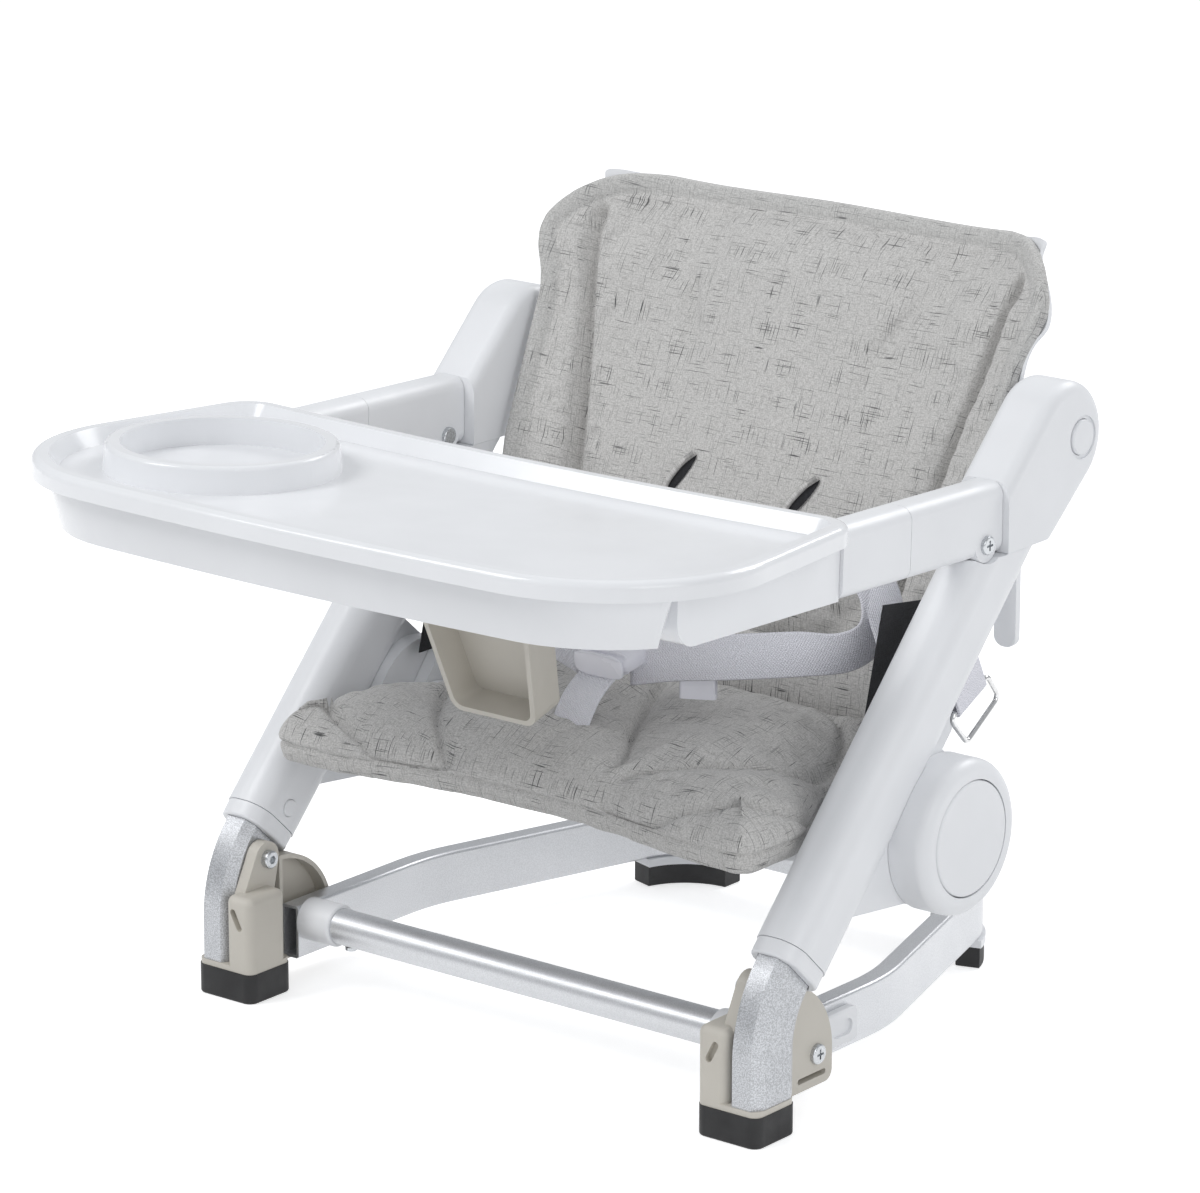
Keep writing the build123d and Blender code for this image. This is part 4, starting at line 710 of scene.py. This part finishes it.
def seat_pad():
    """The puffy seat cushion over a ruffled lower band, with its sewn lines drawn in."""
    pad = copy_node("seat_cushion", "seat_pad")
    pad.data.materials.clear()
    pad.data.materials.append(CLOTH)
    remesh(pad, SEAT_VOXEL)
    co = np.array([v.co for v in pad.data.vertices])
    normals = np.array([v.normal for v in pad.data.vertices])
    loop = seat_outline()
    q, d = nearest_on(co[:, :2], loop)
    inward = -normals[:, :2]
    toward = co[:, :2] - q
    mid = d > 0.004
    inward[mid] = toward[mid]
    inward /= np.maximum(np.linalg.norm(inward, axis=1, keepdims=True), 1e-9)
    seam_z = seat_low.z + SEAM_UP
    rise = seat_high.z - seam_z
    up = np.clip((co[:, 2] - seam_z) / rise, 0, 1)
    upper = co[:, 2] > seam_z
    turn = np.where(up > 0.97, pi / 4 + np.clip(d / PUFF_REACH, 0, 1) * pi / 4,
                    np.clip(up + d / 0.02, 0, 1) * pi / 4)
    reach = PUFF_REACH * (1 - np.cos(turn))
    shaped = co.copy()
    rim = upper & (d < PUFF_REACH)
    shaped[rim, :2] = q[rim] + inward[rim] * reach[rim, None]
    shaped[rim, 2] = seam_z + rise * np.sin(turn[rim])
    low = ~upper
    under = np.clip((seam_z - co[:, 2]) / SEAM_UP, 0, 1)
    ruffle = wobble(np.stack([co[:, 0] / 0.011, co[:, 1] / 0.011, co[:, 2] * 0], axis=1), 6)
    tuck = 0.004 * under + 0.0022 * ruffle * under
    tuck *= np.exp(-d / 0.008)
    shaped[low, :2] += inward[low] * tuck[low, None]
    flat = shaped * np.array((1, 1, 0))
    seams = seat_seams()
    near = np.min([path_distance(flat, s * np.array((1, 1, 0))) for s in seams], axis=0)
    pad.data.vertices.foreach_set("co", shaped.ravel())
    pins = ((near < 0.004) & upper) | ~upper | (d < 0.006)
    inflate(pad, pins, CLOTH_PRESSURE, 0.007)
    subdivide(pad)
    co = np.array([v.co for v in pad.data.vertices])
    normals = np.array([v.normal for v in pad.data.vertices])
    flat = co * np.array((1, 1, 0))
    top = np.clip(normals[:, 2] * 2, 0, 1)
    near = np.min([path_distance(flat, s * np.array((1, 1, 0))) for s in seams], axis=0)
    co[:, 2] -= (0.0042 * np.exp(-(near / 0.0026) ** 2) + 0.004 * np.exp(-near / 0.012)) * top
    pull = wobble(np.stack([co[:, 0] / 0.012, co[:, 1] / 0.03, co[:, 2] * 0], axis=1), 7)
    q, d = nearest_on(co[:, :2], loop)
    edge = np.exp(-np.clip(d - 0.004, 0, 1) / 0.012) * np.clip(normals[:, 2] + 0.3, 0, 1)
    co[:, 2] += 0.0016 * pull * edge + 0.0012 * pull * np.exp(-near / 0.01) * top
    side = 1 - np.abs(normals[:, 2])
    seam = np.exp(-((co[:, 2] - seam_z) / 0.0016) ** 2) * side
    co[:, :2] -= normals[:, :2] * seam[:, None] * 0.0032
    waves = wobble(np.stack([co[:, 0] * 24, co[:, 1] * 24, co[:, 2] * 0], axis=1), 8)
    co[:, 2] += 0.0018 * waves * top
    co[:, 2] += REAR_RISE * smoothstep((co[:, 1] - REAR_START) / (REAR_END - REAR_START)) * top
    pad.data.vertices.foreach_set("co", co.ravel())
    box_weave(pad, (0, 1, 0.001))
    shade_smooth(pad)
    finish_soft(pad, "seat_unit")
    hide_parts("seat_cushion")


# ---- the harness ----
WEB_WIDTH = 0.025
BUCKLE_SHIFT = Vector((0.010, 0.006, 0.009))
BUCKLE_LEAN = radians(12)
SIDE_SHEET_X, SIDE_SHEET_THICK = 150, 0.8
SIDE_SHEET_EDGE = [(140, 168), (191, 168), (199, 200), (196, 240), (160, 245)]
FLAP_HEIGHT = 0.044


def rounded_block(name, centre, axes, size, power, material, divisions=10):
    """A moulded block with softly rounded edges: a superellipsoid on three axes."""
    verts, faces = [], []
    rings = divisions * 2
    for i in range(divisions + 1):
        phi = -pi / 2 + pi * i / divisions
        for j in range(rings):
            theta = 2 * pi * j / rings
            raw = (cos(phi) * cos(theta), cos(phi) * sin(theta), sin(phi))
            part = [abs(c) ** power * (1 if c >= 0 else -1) for c in raw]
            verts.append(centre + sum((axes[k] * part[k] * size[k] / 2 for k in range(3)),
                                      Vector()))
    for i in range(divisions):
        for j in range(rings):
            k = (j + 1) % rings
            faces.append((i * rings + j, i * rings + k, (i + 1) * rings + k, (i + 1) * rings + j))
    obj = make_object(name, verts, faces, material)
    bm = bmesh.new()
    bm.from_mesh(obj.data)
    bmesh.ops.remove_doubles(bm, verts=bm.verts, dist=1e-6)
    bmesh.ops.recalc_face_normals(bm, faces=bm.faces)
    bm.to_mesh(obj.data)
    bm.free()
    shade_smooth(obj)
    return obj


def join(objects):
    """One mesh object from several."""
    bpy.ops.object.select_all(action="DESELECT")
    for obj in objects:
        obj.select_set(True)
    bpy.context.view_layer.objects.active = objects[0]
    bpy.ops.object.join()
    return objects[0]


def harness():
    """Straps, buckle, near-black side sheets and the flap behind the seat pad."""
    up, across = Vector((0, 0, 1)), Vector((1, 0, 0))
    waist = [at(18, 116, 199), at(46, 119, 206), at(78, 127, 211), at(106, 148, 213),
             at(122, 166, 213), at(130, 179, 221), at(129, 186, 236), at(122, 187, 250)]
    lean = [up, up, Vector((-0.1, 0, 1)), Vector((-0.2, -0.1, 1)), Vector((-0.2, -0.5, 1)),
            Vector((-0.2, -0.9, 0.7)), Vector((-0.3, -1, 0.2)), Vector((-0.4, -1, 0))]
    cross = [at(121, 189, 251), at(134, 185, 234), at(145, 178, 214), at(149, 170, 190)]
    wide = [Vector((0.3, 1, 0.3)), Vector((0.2, 0.9, 0.5)), Vector((0.1, 0.8, 0.7)),
            Vector((0, 0.8, 0.7))]
    for side, name in ((1, "left"), (-1, "right")):
        flip = Vector((side, 1, 1))
        one = strip("waist_web_" + name, [p * flip for p in waist], [v * flip for v in lean],
                    WEB_WIDTH, TAPE)
        two = strip("side_web_" + name, [p * flip for p in cross], [v * flip for v in wide],
                    WEB_WIDTH, TAPE)
        both = join([one, two])
        finish_soft(both, "seat_unit")
        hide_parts("waist_strap_" + name)
    crotch = strip("crotch_web", [at(0, 84, 158), at(1, 86, 170), at(4, 93, 185),
                                  at(8, 104, 196), at(10, 114, 200)], [across] * 5,
                   WEB_WIDTH, TAPE)
    finish_soft(crotch, "seat_unit")
    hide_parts("crotch_strap")
    centre = (buckle_low + buckle_high) / 2 + BUCKLE_SHIFT
    lean_up = Vector((0, -sin(BUCKLE_LEAN), cos(BUCKLE_LEAN)))
    out = Vector((0, -cos(BUCKLE_LEAN), -sin(BUCKLE_LEAN)))
    axes = (across, out, lean_up)
    body = rounded_block("buckle_body", centre, axes, (0.036, 0.036, 0.011), 0.45,
                         BUCKLE_WHITE, 16)
    tab = rounded_block("buckle_tab", centre + lean_up * 0.0048, axes, (0.017, 0.022, 0.004),
                        0.5, BUCKLE_WHITE, 12)
    bars = [rounded_block("buckle_bar_%d" % k, centre + out * (0.013 + 0.006 * k), axes,
                          (0.033, 0.0034, 0.0135), 0.5, BUCKLE_WHITE) for k in range(2)]
    whole = join([body, tab] + bars)
    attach(whole, "seat_unit")
    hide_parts("buckle")
    # Thin near-black sheets stand at both sides of the seat.
    count = len(SIDE_SHEET_EDGE)
    for side, name in ((1, "left"), (-1, "right")):
        verts = [at(side * (SIDE_SHEET_X + depth), y, z)
                 for depth in (0, SIDE_SHEET_THICK) for y, z in SIDE_SHEET_EDGE]
        faces = [tuple(range(count)), tuple(range(2 * count - 1, count - 1, -1))]
        faces += [(k, count + k, count + (k + 1) % count, (k + 1) % count) for k in range(count)]
        side_sheet = make_object("near_black_side_sheet_" + name, verts, faces, NEAR_BLACK, False)
        box_weave(side_sheet, (0, 0, 1))
        finish_soft(side_sheet, "seat_unit")
    flap = strip("rear_flap", [at(x, 190, 182) for x in (-146, -70, 0, 70, 146)],
                 [Vector((0, 0.15, 1))] * 5, FLAP_HEIGHT, CLOTH, 0.002)
    finish_soft(flap, "seat_unit")
    for side in ("left", "right"):
        name = "anchor_strap_" + side
        loop = copy_node(name, "anchor_web_" + side)
        loop.data.materials.clear()
        loop.data.materials.append(TAPE)
        box_weave(loop, (0, 0.9, 0.43))
        finish_soft(loop, "seat_unit")
        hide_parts(name)


# ================= camera, stage and light =================
CAMERA_AZIMUTH, CAMERA_ELEVATION = radians(38.66), radians(16.0)
CAMERA_TARGET = at(0, 150, 200)
CAMERA_SIDE, CAMERA_RISE, CAMERA_BACK = -0.0237, 0.02405, 3.13524
CAMERA_LENS = 175.23
FLOOR_GLOW = 0.58
WORLD_LIGHT = 0.55


def look_camera():
    """The photograph's view, from the right of the front, a little above the tray."""
    azimuth, elevation = CAMERA_AZIMUTH, CAMERA_ELEVATION
    across = Vector((cos(azimuth), sin(azimuth), 0))
    back = Vector((sin(azimuth) * cos(elevation), -cos(azimuth) * cos(elevation),
                   sin(elevation)))
    up = back.cross(across)
    cam = bpy.data.cameras.new("camera")
    obj = bpy.data.objects.new("camera", cam)
    scene.collection.objects.link(obj)
    place = CAMERA_TARGET + across * CAMERA_SIDE + up * CAMERA_RISE + back * CAMERA_BACK
    turn = Matrix((across, up, back)).transposed().to_4x4()
    obj.matrix_world = Matrix.Translation(place) @ turn
    cam.sensor_width = 36
    cam.lens = CAMERA_LENS
    cam.clip_end = 50
    scene.camera = obj


def pale_for_camera(tree, surface, strength):
    """Surface shader that the camera, glass and gloss see as pale, but that keeps shadows."""
    path = node(tree, "ShaderNodeLightPath")
    seen = math_node(tree, "MAXIMUM", path.outputs["Is Camera Ray"], path.outputs["Is Glossy Ray"])
    seen = math_node(tree, "MAXIMUM", seen, path.outputs["Is Transmission Ray"])
    glow = node(tree, "ShaderNodeEmission", in_Color=(1, 1, 1, 1), in_Strength=strength)
    both = node(tree, "ShaderNodeAddShader")
    tree.links.new(surface, both.inputs[0])
    tree.links.new(glow.outputs[0], both.inputs[1])
    pick = node(tree, "ShaderNodeMixShader")
    tree.links.new(seen, pick.inputs[0])
    tree.links.new(surface, pick.inputs[1])
    tree.links.new(both.outputs[0], pick.inputs[2])
    return pick.outputs[0]


def stage():
    """Pale floor under a pale world."""
    bpy.ops.mesh.primitive_plane_add(size=14, location=(0, 0, 0))
    floor = bpy.context.object
    floor.name = "floor"
    mat, tree, shader = new_material("pale_floor")
    shader.inputs["Base Color"].default_value = (0.8, 0.8, 0.8, 1)
    shader.inputs["Roughness"].default_value = 0.6
    shader.inputs["Specular IOR Level"].default_value = 0.1
    out = tree.nodes["Material Output"]
    tree.links.new(pale_for_camera(tree, shader.outputs[0], FLOOR_GLOW), out.inputs["Surface"])
    floor.data.materials.append(mat)
    world = bpy.data.worlds.new("studio")
    scene.world = world
    world.use_nodes = True
    tree = world.node_tree
    lit = tree.nodes["Background"]
    lit.inputs["Color"].default_value = (0.95, 0.97, 1.0, 1)
    lit.inputs["Strength"].default_value = WORLD_LIGHT
    white = node(tree, "ShaderNodeBackground", in_Color=(1, 1, 1, 1), in_Strength=1.0)
    path = node(tree, "ShaderNodeLightPath")
    pick = node(tree, "ShaderNodeMixShader")
    tree.links.new(path.outputs["Is Camera Ray"], pick.inputs[0])
    tree.links.new(lit.outputs[0], pick.inputs[1])
    tree.links.new(white.outputs[0], pick.inputs[2])
    tree.links.new(pick.outputs[0], tree.nodes["World Output"].inputs["Surface"])


def area_light(name, place, aim, size, power):
    """Soft rectangular lamp that points at aim."""
    lamp = bpy.data.lights.new(name, "AREA")
    lamp.shape = "RECTANGLE"
    lamp.size = size[0]
    lamp.size_y = size[1]
    lamp.energy = power
    obj = bpy.data.objects.new(name, lamp)
    scene.collection.objects.link(obj)
    obj.location = place
    obj.rotation_euler = (Vector(aim) - Vector(place)).to_track_quat("-Z", "Y").to_euler()


def lights():
    """A key lamp, a fill and a rim light."""
    area_light("key", (-1.2, -1.6, 2.2), (0, 0, 0.2), (1.2, 1.2), 30)
    area_light("fill", (2.4, -0.8, 1.2), (0, 0, 0.2), (1.4, 1.4), 14)
    area_light("rim", (0.4, 2.0, 1.8), (0, 0, 0.3), (1.4, 0.8), 20)


scene.view_settings.view_transform = "Standard"
dress_nodes()
look_camera()
stage()
lights()
back_slits(back_pad())
seat_pad()
harness()
